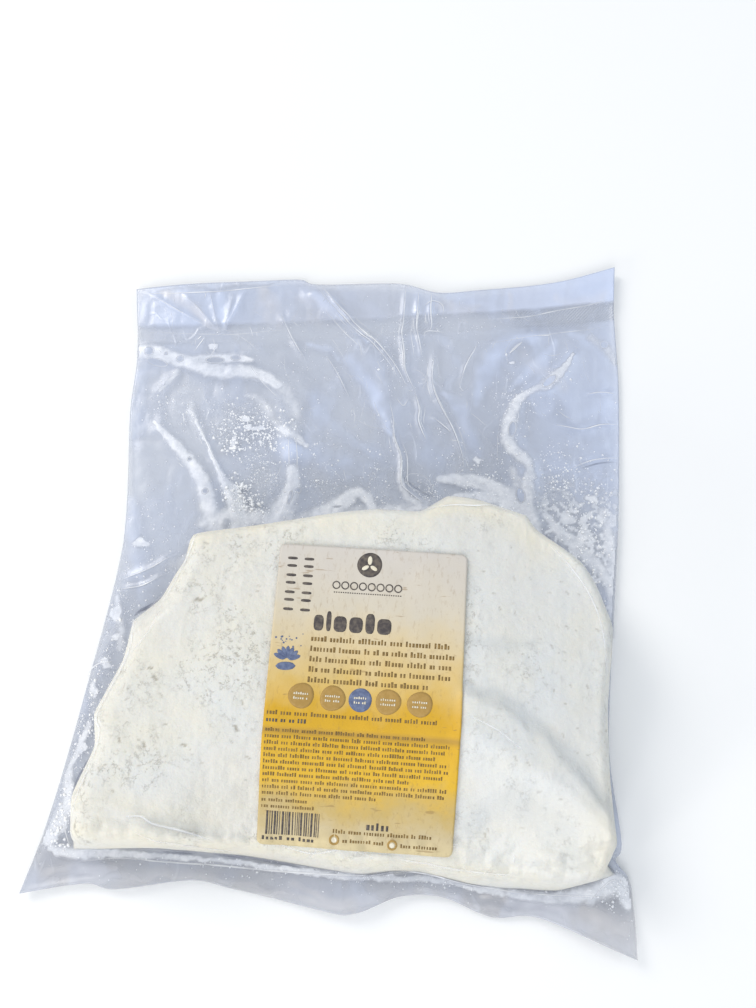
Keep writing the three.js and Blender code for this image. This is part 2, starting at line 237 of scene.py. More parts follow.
def slab_height(x, y):
    """Level of the lump's top before its shoulders are rounded off."""
    across = (x - BEND_CENTRE_X) / BEND_HALF_WIDTH
    bend_y = np.maximum(BEND_Y - BEND_FALL * across ** 2, LOWEST_BEND_Y)
    level = mix(BEND_HEIGHT, UPPER_HEIGHT, (y - BEND_Y) / (UPPER_Y - BEND_Y))
    down = np.maximum(0, (bend_y - y) / (bend_y - SEAM_Y))
    middle = smooth(SLOPE_HALF_WIDTH - np.abs(x - BEND_CENTRE_X), 0, SLOPE_FADE)
    wave = SURFACE_WAVE * np.sin(x / WAVE_ACROSS + 0.6) * np.cos(y / WAVE_UP - 0.4)
    return level - SLOPE_DROP * middle * down ** SLOPE_POWER + wave


def shoulder(x, y):
    """How much of the slab's height stands at a point: 0 at the foot, 1 past the shoulders."""
    share = np.ones(x.shape)
    for side, reach in SHOULDER.items():
        share *= 1 - (1 - measure(lump[side], x, y, reach)[0] / reach) ** SHOULDER_POWER
    return share


def film_underside(x, y):
    """Level of the empty film's lower face, which curls up at the lip and along the hem."""
    wave = FILM_WAVE * (1 + np.sin(x / FILM_WAVE_ACROSS + 0.5) * np.cos(y / FILM_WAVE_UP))
    lip_share = mix(LIP_LEFT_SHARE, 1, smooth(x, LIP_RISE_START_X, LIP_RISE_END_X))
    lip = LIP_CURL * lip_share * smooth(y, LIP_START_Y, LIP_END_Y)
    hem = HEM_CURL * smooth(-y, -HEM_START_Y, -HEM_END_Y) * (1 + np.sin(x / HEM_RIPPLE))
    return FILM_LIFT + wave + lip + hem


# Marks on the lump itself: a soft ridge across its right half and sharper crests near its rim
BULGE_RIDGE = spline([(36, -49), (42.8, -50.3), (54.6, -54.8), (62, -60.8), (75.4, -72.1), (84.1, -83.3),
                      (88.3, -90.2)], 4)
RIM_CREST = spline([(60, 12), (66.3, 6.8), (74.3, -3), (78.4, -10.1), (84.2, -14.2), (87.4, -21.8),
                    (87.6, -34)], 4)
LEFT_CREASE = spline([(-62.5, -21), (-66.3, -27.3), (-74, -39.4)], 4)
LOWER_CREST = spline([(-80, -97.5), (-62, -95), (-50, -96.5), (-31, -99), (-14, -100.5)], 4)
BULGE_HEIGHT, BULGE_SLOPE, BULGE_DROP, BULGE_WANDER = 1.8, 18, 2.6, 1.4
VALLEY_DEPTH, VALLEY_AWAY, VALLEY_WIDTH = 0.7, 5.5, 4
CREST_HEIGHT, CREST_WIDTH = 0.7, 2.2
CREASE_DEPTH, CREASE_WIDTH = 0.9, 0.9
BEVEL_START_Y, BEVEL_END_Y = -90, -97
BEVEL_CRUMPLE, BEVEL_CREASE, BEVEL_SINK = 1.5, 0.7, 0.7
# Small unevenness of the whole lump: (height, cell, shift across, shift up)
UNEVENNESS = [(0.5, 17, 0, 0), (0.2, 6.5, 40, 0), (0.06, 3.1, 0, 70)]

waves = Noise(3)
wrinkles = Noise(5)


def lump_relief(x, y):
    """Broad forms that the film shows as well as the ricotta under it."""
    shift_x, shift_y = BULGE_WANDER * waves(x + 5, y, 6), BULGE_WANDER * waves(x, y + 15, 6)
    away, side, reached = measure(BULGE_RIDGE, x + shift_x, y + shift_y, 2.5 * BULGE_SLOPE)
    reach = np.where(side < 0, BULGE_SLOPE, BULGE_DROP)
    ends = smooth(reached, 0, 0.15) * smooth(1 - reached, 0, 0.1)
    relief = BULGE_HEIGHT * ends * np.exp(-(away / reach) ** 2)
    relief -= VALLEY_DEPTH * ends * np.exp(-((away - VALLEY_AWAY) / VALLEY_WIDTH) ** 2) * (side > 0)
    for crest in (RIM_CREST, LOWER_CREST):
        relief += CREST_HEIGHT * np.exp(-(measure(crest, x, y, 3 * CREST_WIDTH)[0] / CREST_WIDTH) ** 2)
    relief -= CREASE_DEPTH * np.exp(-(measure(LEFT_CREASE, x, y, 3)[0] / CREASE_WIDTH) ** 2)
    bevel = smooth(-y, -BEVEL_START_Y, -BEVEL_END_Y)
    crumple = BEVEL_CRUMPLE * np.abs(waves(x + 20, y * 1.5, 9)) + BEVEL_CREASE * np.abs(waves(x, y + 50, 4))
    relief += bevel * (crumple - BEVEL_SINK)
    for height, cell, across, up in UNEVENNESS:
        relief += height * waves(x + across, y + up, cell)
    return relief


# Heat seal across the top, a pressed band that climbs a little to the right
SEAL_LEFT_Y, SEAL_RIGHT_Y, SEAL_BOW = 82.5, 107, 8
POUCH_HALF_WIDTH = 100
SEAL_HALF_WIDTH, SEAL_EDGE, SEAL_PRESS = 4, 1.2, 0.15


def seal_level(x):
    """How far up the pack the middle of the seal runs."""
    across = (x + POUCH_HALF_WIDTH) / (2 * POUCH_HALF_WIDTH)
    return mix(SEAL_LEFT_Y, SEAL_RIGHT_Y, across) - SEAL_BOW * across * (1 - across)


def seal_share(x, y):
    """1 on the seal, 0 beside it."""
    away = np.abs(y - seal_level(x))
    return 1 - smooth(away, SEAL_HALF_WIDTH - SEAL_EDGE, SEAL_HALF_WIDTH + SEAL_EDGE)


raised_channels = [(width, height, spline(points, 6)) for width, height, points in CHANNELS]
raised_folds = [(width, height, spline(points, 5)) for width, height, points in FOLDS]
FOLD_ROUNDING, FOLD_SHARPNESS, FOLD_END_HEIGHT = 0.3, 0.6, 0.3
BROAD_FACETS, FINE_FACETS = (0.4, 10), (0.2, 4.2)
SEAL_FLATTENING, RIM_RAISED = 0.6, 0.4


def raised_lines(x, y):
    """Height of the channels and folds over the flat film."""
    raised = np.zeros(x.shape)
    for width, height, line in raised_channels:
        away, _, _ = measure(line, x, y, 3 * width)
        raised = np.maximum(raised, height * np.exp(-(away / width) ** 2))
    for width, height, line in raised_folds:
        away, _, reached = measure(line, x, y, 4 * width)
        ends = smooth(reached, 0, 0.2) * smooth(1 - reached, 0, 0.2)
        away = np.sqrt(away ** 2 + FOLD_ROUNDING ** 2) - FOLD_ROUNDING
        raised = np.maximum(raised, height * mix(FOLD_END_HEIGHT, 1, ends)
                            * np.exp(-away / (FOLD_SHARPNESS * width)))
    return raised


def beside_foot(x, y):
    """Whether points lie on the lump, and how far out from its foot line they are (below 0 on the lump)."""
    on_lump = inside(foot, x, y)
    to_foot = measure(foot, x, y, FOOT_REACH)[0]
    return on_lump, np.where(on_lump, -to_foot, to_foot)


class Film:
    """The film's upper and lower levels over a set of plan points, and where they lie on the pack."""

    def __init__(self, x, y):
        on_lump, self.outward = beside_foot(x, y)
        flat = film_underside(x, y)
        loose = smooth(self.outward, 0, RAISED_FADE)
        self.seal = seal_share(x, y) * loose
        within = smooth(measure(pouch_ring, x, y, RIM_REACH)[0], 0, RIM_REACH)
        unpressed = loose * (1 - SEAL_FLATTENING * self.seal) * mix(RIM_RAISED, 1, within)
        self.raised = raised_lines(x, y) * unpressed
        slant_x, slant_y = x + 0.4 * y, 0.6 * y - 0.25 * x
        facets = BROAD_FACETS[0] * np.abs(wrinkles(slant_x, slant_y, BROAD_FACETS[1]))
        facets += FINE_FACETS[0] * np.abs(wrinkles(x + 37, y * 0.7, FINE_FACETS[1]))
        self.facets = facets * loose * (1 - self.seal) * within
        film = flat + FILM_THICKNESS + self.raised + self.facets - SEAL_PRESS * self.seal
        height = shoulder(x, y)
        lump_top = mix(flat + FILM_THICKNESS, slab_height(x, y), height) + lump_relief(x, y) * height
        self.top = np.where(on_lump, lump_top, film)
        self.underside = flat * (1 - smooth(-self.outward, 0, UNDERSIDE_ROUNDING))


def spread(count, places=(0, 1), density=(1, 1)):
    """Shares from 0 to 1 that lie closer together where the density is higher."""
    t = np.linspace(0, 1, 401)
    total = np.concatenate([[0], np.cumsum(np.interp((t[1:] + t[:-1]) / 2, places, density))])
    return np.interp(np.linspace(0, total[-1], count + 1), total, t)


def coons(sides, s, t):
    """Plan points of a grid stretched between four side lines, at those shares across and up."""
    lower, upper = along(sides["lower"], s), along(sides["upper"], s)
    left, right = along(sides["left"], t), along(sides["right"], t)
    s, t = s[None, :, None], t[:, None, None]
    plan = (1 - t) * lower[None] + t * upper[None] + (1 - s) * left[:, None] + s * right[:, None]
    plan -= (1 - s) * ((1 - t) * lower[0] + t * upper[0]) + s * ((1 - t) * lower[-1] + t * upper[-1])
    return plan[..., 0], plan[..., 1]


def make_mesh(name, points, faces, material, fields=None):
    """A smooth-shaded piece in the scene, from points in millimetres. Fields hold one value a point."""
    mesh = bpy.data.meshes.new(name)
    mesh.from_pydata((np.asarray(points) * MM).tolist(), [], [list(face) for face in faces])
    for field, values in (fields or {}).items():
        mesh.attributes.new(field, "FLOAT", "POINT").data.foreach_set("value", np.asarray(values, np.float32))
    mesh.shade_smooth()
    mesh.materials.append(material)
    piece = bpy.data.objects.new(name, mesh)
    bpy.context.scene.collection.objects.link(piece)
    return piece


def grid_cells(number):
    """The four corner numbers of each cell of a numbered grid."""
    return number[:-1, :-1], number[:-1, 1:], number[1:, 1:], number[1:, :-1]


def closed_lid(x, y, top, underside, rings):
    """Points and faces of a closed body: a fine grid on top, and rings shrinking to a centre underneath."""
    number = np.arange(x.size).reshape(x.shape)
    blocks = [np.stack(grid_cells(number), -1).reshape(-1, 4)]
    rim = np.concatenate([number[0], number[1:, -1], number[-1, -2::-1], number[-2:0:-1, 0]])
    rim_x, rim_y = x.ravel()[rim], y.ravel()[rim]
    points = [np.stack([x.ravel(), y.ravel(), top.ravel()], -1)]
    first, outer = x.size, rim
    for share in rings:
        ring_x, ring_y = mix(rim_x, rim_x.mean(), share), mix(rim_y, rim_y.mean(), share)
        points.append(np.stack([ring_x, ring_y, underside(ring_x, ring_y)], -1))
        inner = first + np.arange(len(rim))
        blocks.append(np.stack([outer, inner, np.roll(inner, -1), np.roll(outer, -1)], -1))
        first, outer = first + len(rim), inner
    centre_x, centre_y = rim_x.mean(keepdims=True), rim_y.mean(keepdims=True)
    points.append(np.stack([centre_x, centre_y, underside(centre_x, centre_y)], -1))
    blocks.append(np.stack([outer, np.full(len(rim), first), np.roll(outer, -1)], -1))
    return np.concatenate(points), [face for block in blocks for face in block.tolist()]


def sheet_pair(x, y, top, underside):
    """Points and faces of a closed body: two sheets over one grid, joined round their edges."""
    below = x.size
    number = np.arange(below).reshape(x.shape)
    a, b, c, d = grid_cells(number)
    faces = [np.stack([a, b, c, d], -1).reshape(-1, 4), np.stack([a, d, c, b], -1).reshape(-1, 4) + below]
    rim = np.concatenate([number[0], number[1:, -1], number[-1, -2::-1], number[-2::-1, 0]])
    start, end = rim[:-1], rim[1:]
    faces.append(np.stack([start + below, end + below, end, start], -1))
    levels = np.concatenate([top.ravel(), underside.ravel()])
    return np.stack([np.tile(x.ravel(), 2), np.tile(y.ravel(), 2), levels], -1), np.concatenate(faces)


# Materials

def colour(red, green, blue):
    """Linear colour of an sRGB one given in 0 to 255."""
    srgb = np.array([red, green, blue]) / 255
    return (*np.where(srgb <= 0.04045, srgb / 12.92, ((srgb + 0.055) / 1.055) ** 2.4), 1)


class Material:
    """A material's node tree with short ways to add what these finishes share."""

    def __init__(self, name, **values):
        self.material = bpy.data.materials.new(name)
        self.material.use_nodes = True
        self.nodes = self.material.node_tree.nodes
        self.shader = self.nodes["Principled BSDF"]
        for socket, value in values.items():
            self.shader.inputs[socket.replace("_", " ")].default_value = value

    def link(self, output, target):
        self.material.node_tree.links.new(output, target)

    def feed(self, target, value):
        """Links a socket to another node's output, or sets it to a plain value."""
        if hasattr(value, "is_output"):
            self.link(value, target)
        else:
            target.default_value = value

    def node(self, kind, **inputs):
        node = self.nodes.new(kind)
        for socket, value in inputs.items():
            self.feed(node.inputs[socket.replace("_", " ")], value)
        return node

    def place(self, stretch=(1, 1, 1)):
        """Object coordinates, in metres, stretched before a texture reads them."""
        mapping = self.node("ShaderNodeMapping", Scale=stretch)
        self.link(self.node("ShaderNodeTexCoord").outputs["Object"], mapping.inputs["Vector"])
        return mapping.outputs["Vector"]

    def noise(self, scale, detail=3, roughness=0.5, stretch=(1, 1, 1)):
        """Noise with about that many cells a metre."""
        vector = self.place(stretch)
        node = self.node("ShaderNodeTexNoise", Vector=vector, Scale=scale, Detail=detail, Roughness=roughness)
        return node.outputs["Fac"]

    def field(self, name):
        node = self.nodes.new("ShaderNodeAttribute")
        node.attribute_name = name
        return node.outputs["Fac"]

    def math(self, operation, a, b=0.0):
        node = self.nodes.new("ShaderNodeMath")
        node.operation = operation
        self.feed(node.inputs[0], a)
        self.feed(node.inputs[1], b)
        return node.outputs["Value"]

    def times(self, a, b):
        return self.math("MULTIPLY", a, b)

    def plus(self, a, b):
        return self.math("ADD", a, b)

    def thin_lines(self, noise, width, strength):
        """Lines along which a noise passes through its middle value."""
        away = self.math("ABSOLUTE", self.math("SUBTRACT", noise, 0.5))
        return self.map_range(away, 0, width, strength, 0)

    def map_range(self, value, low, high, to_low=0.0, to_high=1.0):
        node = self.node("ShaderNodeMapRange", Value=value, From_Min=low, From_Max=high, To_Min=to_low,
                         To_Max=to_high)
        return node.outputs["Result"]

    def blend(self, share, a, b):
        node = self.nodes.new("ShaderNodeMix")
        node.data_type = "RGBA"
        for index, value in ((0, share), (6, a), (7, b)):
            self.feed(node.inputs[index], value)
        return node.outputs[2]

    def paint(self, shade):
        self.feed(self.shader.inputs["Base Color"], shade)
        return self

    def clear(self, cover):
        self.feed(self.shader.inputs["Alpha"], cover)
        return self

    def bump(self, height, strength, distance):
        node = self.node("ShaderNodeBump", Height=height, Strength=strength, Distance=distance)
        self.link(node.outputs["Normal"], self.shader.inputs["Normal"])
        return self


LUMP_TINT, MARGIN_TINT, GLINT_TINT = colour(238, 238, 232), colour(205, 210, 223), colour(240, 244, 254)
SKY_REFLECTION_TINT, WARM_HIGHLIGHT_TINT, SHADE_TINT = colour(218, 229, 254), colour(248, 242, 239), colour(146, 152, 168)
LOWER_TINT, HEM_TINT = colour(211, 217, 230), colour(194, 196, 204)
HEM_TINT_FROM, HEM_TINT_TO = -0.108, -0.101
KNURL_SCALE, KNURL_SHADE, KNURL_COVER = 500, 0.5, 0.3
CRINKLE_COVER, MIRROR_COVER = 0.5, 0.35


def film_material():
    """Clear film: its upper sheet carries painted sky reflections, warm highlights, glints and shade, its
    lower sheet holds most of the tint.
    """
    film = Material("clear_film", Roughness=0.26, IOR=1.7, Specular_IOR_Level=0.7)
    loose = film.field("loose")
    level = film.node("ShaderNodeSeparateXYZ", Vector=film.place()).outputs["Y"]
    hem = film.map_range(level, HEM_TINT_FROM, HEM_TINT_TO, 1, 0)
    knurl = film.node("ShaderNodeTexWave", Vector=film.place((1, -0.9, 1)), Scale=KNURL_SCALE, Distortion=1.5)
    knurl.bands_direction = "DIAGONAL"
    pressed = film.times(knurl.outputs["Fac"], film.field("knurl"))
    # Crinkle lines, painted bright as glints and raised a little by the bump
    crinkle_glints = film.thin_lines(film.noise(60, 2, 0.5, (1, 0.35, 1)), 0.013, 0.5)
    crinkle_glints = film.times(film.times(crinkle_glints, film.map_range(film.noise(75, 3), 0.54, 0.7)), loose)
    # Patches of painted sky reflection
    mirror = film.map_range(film.noise(34, 3, 0.6, (1, 0.6, 1)), 0.5, 0.57, 0, 0.35)
    mirror = film.times(mirror, loose)
    streaks = film.map_range(film.noise(45, 4, 0.6, (1, 0.55, 1)), 0.35, 0.75, -0.05, 0.08)
    ripples = film.times(film.noise(240, 4, 0.6, (1, 0.6, 1)), loose)

    upper = film.blend(loose, LUMP_TINT, film.blend(hem, MARGIN_TINT, HEM_TINT))
    # Painted sky reflection, warm highlight and shade laid over the film's own tint
    for field, tint in (("sky", SKY_REFLECTION_TINT), ("warm_highlight", WARM_HIGHLIGHT_TINT), ("shade", SHADE_TINT)):
        upper = film.blend(film.field(field), upper, tint)
    # Painted shade along the knurl's pressed lines
    upper = film.blend(film.times(pressed, KNURL_SHADE), upper, SHADE_TINT)
    # Painted sky-reflection patches, then painted glints along the crinkles
    upper = film.blend(crinkle_glints, film.blend(mirror, upper, SKY_REFLECTION_TINT), GLINT_TINT)
    film.paint(film.blend(film.field("lower"), upper, film.blend(hem, LOWER_TINT, HEM_TINT)))
    cover = film.field("veil")
    for mark, share in ((streaks, loose), (pressed, KNURL_COVER), (crinkle_glints, CRINKLE_COVER),
                        (mirror, MIRROR_COVER)):
        cover = film.plus(cover, film.times(mark, share))
    film.clear(cover)
    return film.bump(film.plus(film.plus(pressed, ripples), crinkle_glints), 0.35, 0.0006).material


def crease_material():
    """Thin lines on the film: painted highlights where it folds, painted shade beside its folds and where it
    shades a gap.
    """
    crease = Material("film_crease", Roughness=0.25)
    crease.paint(crease.blend(crease.field("glint"), colour(120, 126, 144), colour(252, 253, 255)))
    return crease.clear(crease.field("cover")).material


WARM_CURD, COOL_CURD, CREAM_CURD = colour(232, 228, 218), colour(229, 230, 227), colour(238, 231, 209)
# Painted shade colours: in the curd's cracks, specks and gouges, and in its soft hollows
CRACK_SHADE_CURD, HOLLOW_SHADE_CURD = colour(150, 139, 116), colour(184, 190, 192)


def ricotta_material():
    """Moist white curd: cream patches, faint broken veins, specks and gouges darkened with painted shade, and
    painted shade in soft hollows.
    """
    curd = Material("ricotta_curd", Roughness=0.6, Subsurface_Weight=0.1, Subsurface_Scale=1,
                    Subsurface_Radius=(0.004, 0.003, 0.002))
    patches = curd.map_range(curd.noise(50, 5, 0.65), 0.42, 0.7, 0, 0.6)
    mottled = curd.map_range(curd.noise(110, 4, 0.6), 0.3, 0.7, 0.35, 1)
    cream = curd.math("MAXIMUM", patches, curd.times(curd.field("cream"), mottled))
    ground = curd.blend(curd.map_range(curd.noise(22, 4, 0.6), 0.35, 0.65), WARM_CURD, COOL_CURD)
    ground = curd.blend(cream, ground, CREAM_CURD)
    veins = curd.thin_lines(curd.noise(190, 5, 0.7), 0.02, 0.75)
    broken = curd.map_range(curd.noise(300, 2), 0.44, 0.54)
    specks = curd.map_range(curd.noise(800, 2), 0.64, 0.74, 0, 0.6)
    crowd = curd.map_range(curd.noise(44, 3, 0.65), 0.46, 0.66)
    marks = curd.times(crowd, curd.math("MAXIMUM", curd.times(veins, broken), specks))
    # The cracks, specks and gouges are real; their darker colour is painted shade in these recesses
    ground = curd.blend(curd.math("MAXIMUM", marks, curd.field("gouge")), ground, CRACK_SHADE_CURD)
    # Painted shade in the soft hollows
    curd.paint(curd.blend(curd.field("hollow_shade"), ground, HOLLOW_SHADE_CURD))
    grain = curd.plus(curd.noise(420, 4, 0.6), curd.noise(150, 5, 0.7))
    return curd.bump(curd.math("SUBTRACT", grain, curd.times(marks, 0.8)), 0.5, 0.001).material


def whey_material():
    """Milky whey caught between the sheets, thin and see-through at its edges."""
    whey = Material("milky_whey", Roughness=0.35)
    clouds = whey.map_range(whey.noise(260, 5, 0.7), 0.3, 0.7, 0.66, 1)
    whey.paint(whey.blend(clouds, colour(220, 228, 244), colour(251, 252, 255)))
    whey.clear(whey.times(whey.field("milk"), clouds))
    return whey.bump(whey.noise(300, 3), 0.2, 0.0004).material


def crumb_material():
    """Loose bits of white curd."""
    crumb = Material("curd_crumb", Roughness=0.5)
    crumb.paint(crumb.blend(crumb.noise(400, 3), colour(244, 247, 252), colour(254, 254, 255)))
    return crumb.bump(crumb.noise(900, 3), 0.3, 0.0003).material


def paper_material():
    """Kraft-look paper that fades from beige to golden yellow and back, with fibres, and painted shade along
    a fold.
    """
    paper = Material("label_paper", Roughness=0.62)
    blotches = paper.map_range(paper.noise(120, 4, 0.6), 0.3, 0.7, -0.035, 0.035)
    ramp = paper.nodes.new("ShaderNodeValToRGB")
    paper.link(paper.plus(paper.field("down"), blotches), ramp.inputs["Fac"])
    stops = ramp.color_ramp.elements
    while len(stops) > 1:
        stops.remove(stops[-1])
    stops[0].position, stops[0].color = PAPER_STOPS[0]
    for position, shade in PAPER_STOPS[1:]:
        stops.new(position).color = shade
    fibres = paper.map_range(paper.noise(900, 3, 0.7, (1, 0.35, 1)), 0.55, 0.75, 0, 0.35)
    flecks = paper.map_range(paper.noise(420, 2, 0.5, (0.4, 1.6, 1)), 0.68, 0.74, 0, 0.5)
    # Fibres and flecks are the paper's own; the fold field is painted shade along its crease
    marks = paper.math("MAXIMUM", paper.math("MAXIMUM", fibres, flecks), paper.field("fold"))
    paper.paint(paper.blend(marks, ramp.outputs["Color"], colour(150, 118, 74)))
    return paper.bump(paper.noise(1500, 3), 0.25, 0.0002).material


def ink_material(name, ink, worn):
    """Printing ink, a little uneven where the paper's grain shows through."""
    finish = Material(name, Roughness=0.6)
    finish.paint(finish.blend(finish.map_range(finish.noise(700, 3, 0.6), 0.4, 0.75), ink, worn))
    return finish.bump(finish.noise(1500, 2), 0.15, 0.0001).material


# Film

FILM_COLUMNS, FILM_ROWS = 262, 318
FILM_UP = ([0, 0.08, 0.11, 0.52, 0.56, 1], [1.5, 1.5, 0.8, 0.8, 1.6, 1.6])
FILM_RINGS = [0, 0.03, 0.08, 0.15, 0.25, 0.4, 0.6, 0.8]
FILM_VEIL = {"lump": 0.07, "margin": 0.18, "bright": 0.82, "shade": 0.5, "lower": 0.6}
WHEY_CLEARING = 0.85

# Painted light and shade on the empty film: sky reflections, warm highlights and shade, as strokes of (x, y,
# half width) with a strength
SKY_REFLECTIONS = [
    (0.65, [(-94, 96, 6), (-84, 93, 8), (-72, 88, 5)]),
    (0.9, [(-61.5, 104.5, 4), (-60.5, 96, 3), (-60, 88, 1)]),
    (0.8, [(-54.5, 105.5, 2), (-56.5, 96, 1.5), (-59, 88, 0.6)]),
    (0.9, [(-25.8, 109, 4), (-13, 97.5, 4.5), (-5.8, 92, 3), (0, 86, 2)]),
    (0.6, [(-12, 110, 5), (-4, 103, 7), (4, 98, 5)]),
    (0.95, [(-8, 80, 3.5), (-4.5, 74, 4.5), (1, 67, 5), (5, 60, 5), (9, 54, 3.5), (11, 48, 2)]),
    (0.8, [(-24, 84, 2), (-17, 82, 3), (-12, 79, 3)]),
    (0.5, [(18, 108, 7), (18, 95, 6.5), (18, 84, 6), (20, 72, 5.5), (24, 60, 6), (26, 48, 8), (27, 38, 9)]),
    (0.9, [(30, 66, 2.5), (36, 62, 4), (39, 54, 4.5), (42, 46, 5), (44, 40, 4)]),
    (0.8, [(66, 93, 2.5), (56, 90, 5), (49, 82, 6), (45, 72, 5), (44, 62, 3)]),
    (0.75, [(74, 92, 2), (70, 84, 4), (62, 76, 4), (56, 70, 2)]),
    (0.9, [(44, 106, 3), (48, 104, 5), (53, 102, 4)]),
    (0.9, [(60, 111, 3), (65, 108, 6), (69, 103, 4)]),
    (0.6, [(-90, 66, 5), (-88, 50, 6), (-87, 38, 5)]),
    (0.5, [(-86, 14, 5), (-82, 2, 6), (-78, -12, 5)]),
    (0.3, [(-86, -36, 4), (-89, -52, 5), (-91, -76, 5), (-93, -98, 5)]),
    (0.8, [(-30, 40, 7), (-14, 36, 9), (0, 32, 9)]),
    (0.6, [(-22, 62, 3), (-14, 52, 5), (-4, 44, 6), (6, 40, 5)]),
    (0.7, [(40, 30, 5), (54, 24, 6), (70, 40, 8), (84, 34, 10), (90, 20, 8)]),
    (0.5, [(30, 90, 4), (34, 80, 5), (32, 70, 4)]),
    (0.7, [(96, 88, 3), (89, 91, 4), (82, 95, 3)]),
    (0.6, [(84, 60, 3), (90, 64, 5), (97, 66, 4)]),
    (0.5, [(80, 40, 5), (88, 46, 6), (97, 50, 5)]),
]
# Painted warm highlights on the film, also along the bright lower edge of the hem
WARM_HIGHLIGHTS = [
    (0.95, [(-86, 102.6, 1.5), (-76, 98.5, 4), (-68, 92, 2.6), (-61, 87, 0.8)]),
    (0.7, [(-46, 107, 4), (-42, 99, 8), (-38, 92, 6)]),
    (0.45, [(-30, 104, 3), (-24, 98, 5), (-20, 92, 4)]),
    (0.5, [(30, 104, 5), (37, 103, 6), (42, 105, 3)]),
    (0.6, [(55.5, 112, 2.5), (57, 102, 2)]),
    (0.4, [(76, 112, 4), (84, 108, 6), (92, 112, 5)]),
    (0.35, [(62, 84, 4), (70, 78, 5), (78, 72, 4)]),
    (0.5, [(-95, -118, 3), (-79, -115, 2.5), (-45, -112, 1.5), (-30, -113.5, 1.5), (0, -117.5, 2),
            (24, -112.5, 2), (38, -112, 2), (54, -116.5, 2), (70, -116, 2.5), (95, -124, 2)]),
    (0.6, [(-95, -114, 4), (-80, -112, 3), (-70, -112, 2)]),
    (0.8, [(52, -111, 3), (70, -112, 5), (86, -115, 6), (96, -118, 6)]),
    (0.5, [(-60, -112, 2.5), (-46, -111, 2.5), (-34, -113, 2)]),
    (0.5, [(-12, -113, 2), (2, -116, 2.5), (14, -114, 2)]),
]
SHADE = [
    (0.75, [(-88, 102.9, 0.8), (-72.5, 105, 1.8), (-57, 107.5, 1.8), (-47, 109.2, 1.2), (-38, 110.9, 0.5)]),
    (0.5, [(-48, 83, 3), (-38, 82, 5), (-27, 84, 4)]),
    (0.5, [(-34, 76, 4), (-26, 72, 7), (-20, 64, 6), (-22, 56, 5)]),
    (0.5, [(-15, 80, 1.5), (-13, 72, 3), (-8, 63, 2.5)]),
    (0.35, [(-90, 84, 3), (-76, 82, 4), (-58, 81, 4)]),
    (0.5, [(6, 90, 1.5), (10, 84, 2), (12.5, 79, 1)]),
    (0.5, [(28, 86, 1.5), (28.5, 78, 2), (30, 70, 1.5)]),
    (0.7, [(17.5, 31, 3), (22.5, 28.7, 4.5), (27, 25.5, 3)]),
    (0.45, [(64, 96, 3), (78, 98, 4), (92, 103, 4)]),
    (0.3, [(70, 66, 4), (76, 60, 6), (80, 54, 4)]),
    (0.35, [(52, 52, 3), (51, 44, 4), (54, 34, 3)]),
    (0.3, [(-84, 30, 3), (-74, 20, 5), (-66, 4, 4)]),
    (0.4, [(-78, -18, 4), (-84, -40, 4), (-88, -60, 4), (-91, -80, 4)]),
    (0.4, [(0, -114, 3), (14, -113, 4), (30, -109, 2)]),
    (0.35, [(-56, -111, 2), (-38, -110, 3), (-16, -112, 3)]),
]
KNURL_RIGHT = [(60, 101, 4), (70, 101, 4.5), (84, 103, 4.5), (97, 106.5, 5)]
KNURL_BUNDLE, BUNDLE_STRENGTH = [(13, 96, 3), (19, 95, 4.5), (27, 95, 3)], 0.7

TONE_STRENGTH, TONE_WANDER = 0.8, 1.4
# Shares of the film's painted sky reflection, warm highlight and shade, before the strokes are laid on
SKY_DRIFT, SKY_ABOVE_SEAL, SKY_RIGHT, SKY_LEFT_EDGE, SKY_PATCHES = 0.25, 0.28, 0.35, 0.08, 0.1
SKY_RAISED, SKY_FACETS, SKY_ON_LUMP, SKY_ON_LUMP_RIGHT = 0.2, 0.25, 0.1, 0.16
WARM_DRIFT, SHADE_DRIFT = 0.15, 0.12
FOOT_EDGE = 1.2

mottle = Noise(7)


def film_tones(x, y, film):
    """Where the film mirrors the sky, catches warm light or lies in shade."""
    above = smooth(y - seal_level(x), 3.2, 5.2)
    inner = smooth(y, -108, -102)
    drift = mottle(x, y * 0.5, 26)
    rightward = smooth(x, 24, 60)
    # Painted sky reflection: in drifts and patches, stronger above the seal, on the right and at the left
    # edge
    sky = SKY_DRIFT * smooth(drift, -0.3, 0.8) + (SKY_ABOVE_SEAL + SKY_RIGHT * rightward) * above
    sky += (SKY_RIGHT * rightward + SKY_LEFT_EDGE * smooth(-x, 74, 90)) * inner
    sky += SKY_PATCHES * smooth(mottle(x + 60, y * 0.45, 12), -0.04, 0.04)
    shift_x, shift_y = x + TONE_WANDER * mottle(x, y, 5), y + TONE_WANDER * mottle(x + 30, y, 5)
    uneven = 0.75 + 0.25 * mottle(x + 11, y, 3.5)
    strokes = TONE_STRENGTH * uneven * (1 - 0.4 * film.seal)
    sky = sky * (1 - 0.6 * film.seal)
    sky = sky + (1 - sky) * strokes * brush(SKY_REFLECTIONS, shift_x, shift_y, 0.05)
    # Painted highlights along the raised folds and facets
    sky += SKY_RAISED * film.raised + SKY_FACETS * (film.facets - 0.2)
    # Painted warm highlight, drifting above the seal
    warm_highlight = WARM_DRIFT * above * smooth(-drift, 0, 0.6)
    warm_highlight = np.maximum(warm_highlight, strokes * brush(WARM_HIGHLIGHTS, shift_x, shift_y, 0.1))
    shade = strokes * brush(SHADE, shift_x, shift_y, 0.05) + SHADE_DRIFT * smooth(-drift, 0.1, 0.9)
    # Painted sky reflection on the film over the lump, stronger on its right
    on_top = (SKY_ON_LUMP + SKY_ON_LUMP_RIGHT * smooth(x, 20, 60)) * smooth(-film.outward, 4, 12)
    on_top *= smooth(y, -100, -80)
    loose = smooth(film.outward, -FOOT_EDGE, FOOT_EDGE)
    return [np.clip(tone, 0, 1) for tone in (mix(on_top, sky, loose), warm_highlight * loose, shade * loose)]


